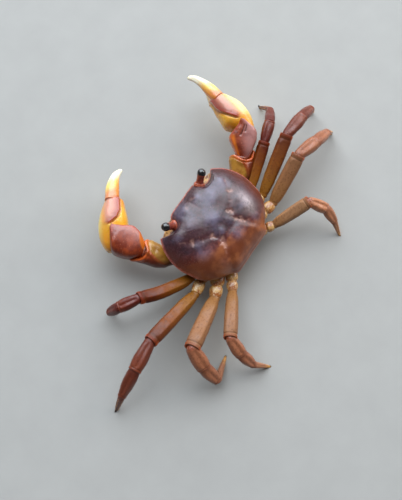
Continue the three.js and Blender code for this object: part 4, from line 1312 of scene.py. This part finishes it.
tooth_rows = []
for word, c in CLAWS.items():
    # The tubes are worked out with their outer face on the left, so the right claw's are mirrored
    flip = c["side"] < 0
    length, turn, rise = between(c["hip"], c["arm"])
    hip = tube([(t * length, w, h) for t, w, h in CLAW_HIP], 48, 48, 2.3, cup=HIP_COLLAR)
    hip = shell_of(hip, c["hip"], limb_axes(turn, rise), flip, 0.02, 80)
    fit(piece_of(f"claw_hip_{word}", hip, hip_material), "coxa_shell", f"coxa_pincer_{word}")

    length, turn, rise = between(c["arm"], c["knee"])
    arm_axes = limb_axes(turn, rise)
    arm = tube([(t * length, *rest) for t, *rest in ARM], 84, 84, 2.2, arm_relief,
               lambda t, a, x: {"outer": np.cos(a), "edge": arm_edge(t, a)}, cup=ARM_COLLAR)
    arm = shell_of(flared(arm, length), c["arm"], arm_axes, flip, 0.02, 82)
    fit(piece_of(f"claw_arm_{word}", arm, arm_material), "pincer_arm_shell", f"merus_pincer_{word}")

    _, turn, rise = between(c["knee"], c["cuff"])
    wrist = tube(c["wrist"], 108, 110, 3.6, lambda t, a, x: wrist_relief(c, a, x),
                 lambda t, a, x: wrist_marks(c, t, a, x))
    wrist = shell_of(wrist, c["knee"], limb_axes(turn, rise), flip, 0.012, 84)
    fit(piece_of(f"claw_wrist_{word}", wrist, wrist_material), "pincer_arm_shell", f"carpus_pincer_{word}")

    palm = tube(c["palm"] + c["thumb"], 128, 200, PALM_SQUARE, lambda t, a, x: palm_relief(c, a, x),
                lambda t, a, x: palm_marks(c, a, x))
    palm_axes = limb_axes(c["turn"], 0.0)
    palm = shell_of(palm, c["palm_at"], palm_axes, flip, 0.01, 86)
    fit(piece_of(f"claw_palm_{word}", palm, palm_material), "palm_shell", f"palm_{word}")

    root = np.array(c["palm_at"]) + np.array(c["finger_at"]) @ palm_axes
    finger_axes = limb_axes(c["turn"] + c["finger_turn"], c["finger_rise"])
    # the finger's pale share is a painted highlight, as strong as the claw's glow
    finger = tube(c["finger"], 60, 100, 2.2, finger_relief,
                  lambda t, a, x: {"outer": np.cos(a), "pale": c["glow"]})
    finger = shell_of(finger, root, finger_axes, flip, 0.01, 88)
    fit(piece_of(f"claw_finger_{word}", finger, finger_material), "finger_shell", f"finger_{word}")

    tooth_rows.append(tooth_row(c, c["finger"], 1.6, -1.0, root, finger_axes))
    tooth_rows.append(tooth_row(c, c["thumb"], 13.2, 1.0, np.array(c["palm_at"]), palm_axes))
    hinges = ((c["arm"], arm_axes, 1.5), (c["knee"], arm_axes, 1.8), (root, finger_axes, 0.8))
    soft = [skin_ball(*hinge, (0.92, 0.9), (1.02, 1), 32, (0.06, 9), 90) for hinge in hinges]
    fit(piece_of(f"joint_skin_claw_{word}", joined(soft), skin_material), "coxa_shell")

tooth_material = speckled("ivory_tooth", dye(250, 238, 206), dye(236, 206, 150), 0.3, 0.01, 0.4, 0.4)
teeth = Growth("teeth_in_rows", *cone(9, 3, 0.14, 0.62, 0.8), on_rows=True).grow(
    "claw_teeth", rows_of(tooth_rows), tooth_material, 31, TOOTH_SPACING, TOOTH)
fit(teeth, "finger_shell")


# Floor, light and camera ------------------------------------------------------------
# A plain pale floor, a wide soft lamp overhead towards the animal's right rear, and a
# lens that looks down from a long way above the crab's left rear.
CAMERA_TURN = math.radians(214)  # where the top of the picture points, over the floor
CAMERA_RISE = math.radians(75)
CAMERA_AT = np.array([53.549, 31.166, 217.333]) * MM + SPOT
LENS, FILM_WIDTH = 59.64, 36  # millimetres of the lens, not of the crab
FLOOR_REACH = 3.0  # metres
SKY, SKY_STRENGTH = (0.9, 0.94, 1.0, 1.0), 0.12

floor_mesh = bpy.data.meshes.new("floor")
corners = [(x * FLOOR_REACH, y * FLOOR_REACH, 0) for x, y in ((-1, -1), (1, -1), (1, 1), (-1, 1))]
floor_mesh.from_pydata(corners, [], [(0, 1, 2, 3)])
f = Finish("pale_floor")
grain = f.cloud(9.0, 4.0)
colour = f.mix(grain, dye(158, 156, 152), dye(168, 166, 162))
floor_mesh.materials.append(f.horn(colour, 0.75, grain, 0.05, {"Specular IOR Level": 0.3}))
floor = bpy.data.objects.new("floor", floor_mesh)
bpy.context.scene.collection.objects.link(floor)

world = bpy.data.worlds.new("studio")
world.use_nodes = True
background = world.node_tree.nodes["Background"]
background.inputs["Color"].default_value = SKY
background.inputs["Strength"].default_value = SKY_STRENGTH
bpy.context.scene.world = world


def lamp(name, direction, distance, size, power, colour):
    """Square lamp that faces the crab from a direction, with its distance and size in metres."""
    light = bpy.data.lights.new(name, "AREA")
    light.shape, light.size, light.energy, light.color = "SQUARE", size, power, colour
    piece = bpy.data.objects.new(name, light)
    towards = Vector(direction).normalized()
    piece.location = Vector(SPOT) + towards * distance
    piece.rotation_euler = towards.to_track_quat("Z", "Y").to_euler()
    bpy.context.scene.collection.objects.link(piece)


lamp("sky_lamp", (-0.55, -0.5, 0.8), 0.9, 1.3, 24.0, (0.84, 0.92, 1.0))
lamp("side_lamp", (-0.85, 0.4, 0.5), 0.8, 0.5, 3.0, (1.0, 0.98, 0.95))

camera = bpy.data.objects.new("camera", bpy.data.cameras.new("camera"))
camera.data.lens, camera.data.sensor_width = LENS, FILM_WIDTH
camera.data.clip_start, camera.data.clip_end = 0.01, 20
up_plan = Vector((math.cos(CAMERA_TURN), math.sin(CAMERA_TURN), 0))
forward = up_plan * math.cos(CAMERA_RISE) - Vector((0, 0, math.sin(CAMERA_RISE)))
camera_up = up_plan * math.sin(CAMERA_RISE) + Vector((0, 0, math.cos(CAMERA_RISE)))
axes = Matrix((forward.cross(camera_up), camera_up, -forward)).transposed()
camera.matrix_world = Matrix.Translation(Vector(CAMERA_AT)) @ axes.to_4x4()
bpy.context.scene.collection.objects.link(camera)
bpy.context.scene.camera = camera
bpy.context.scene.view_settings.view_transform = "Standard"
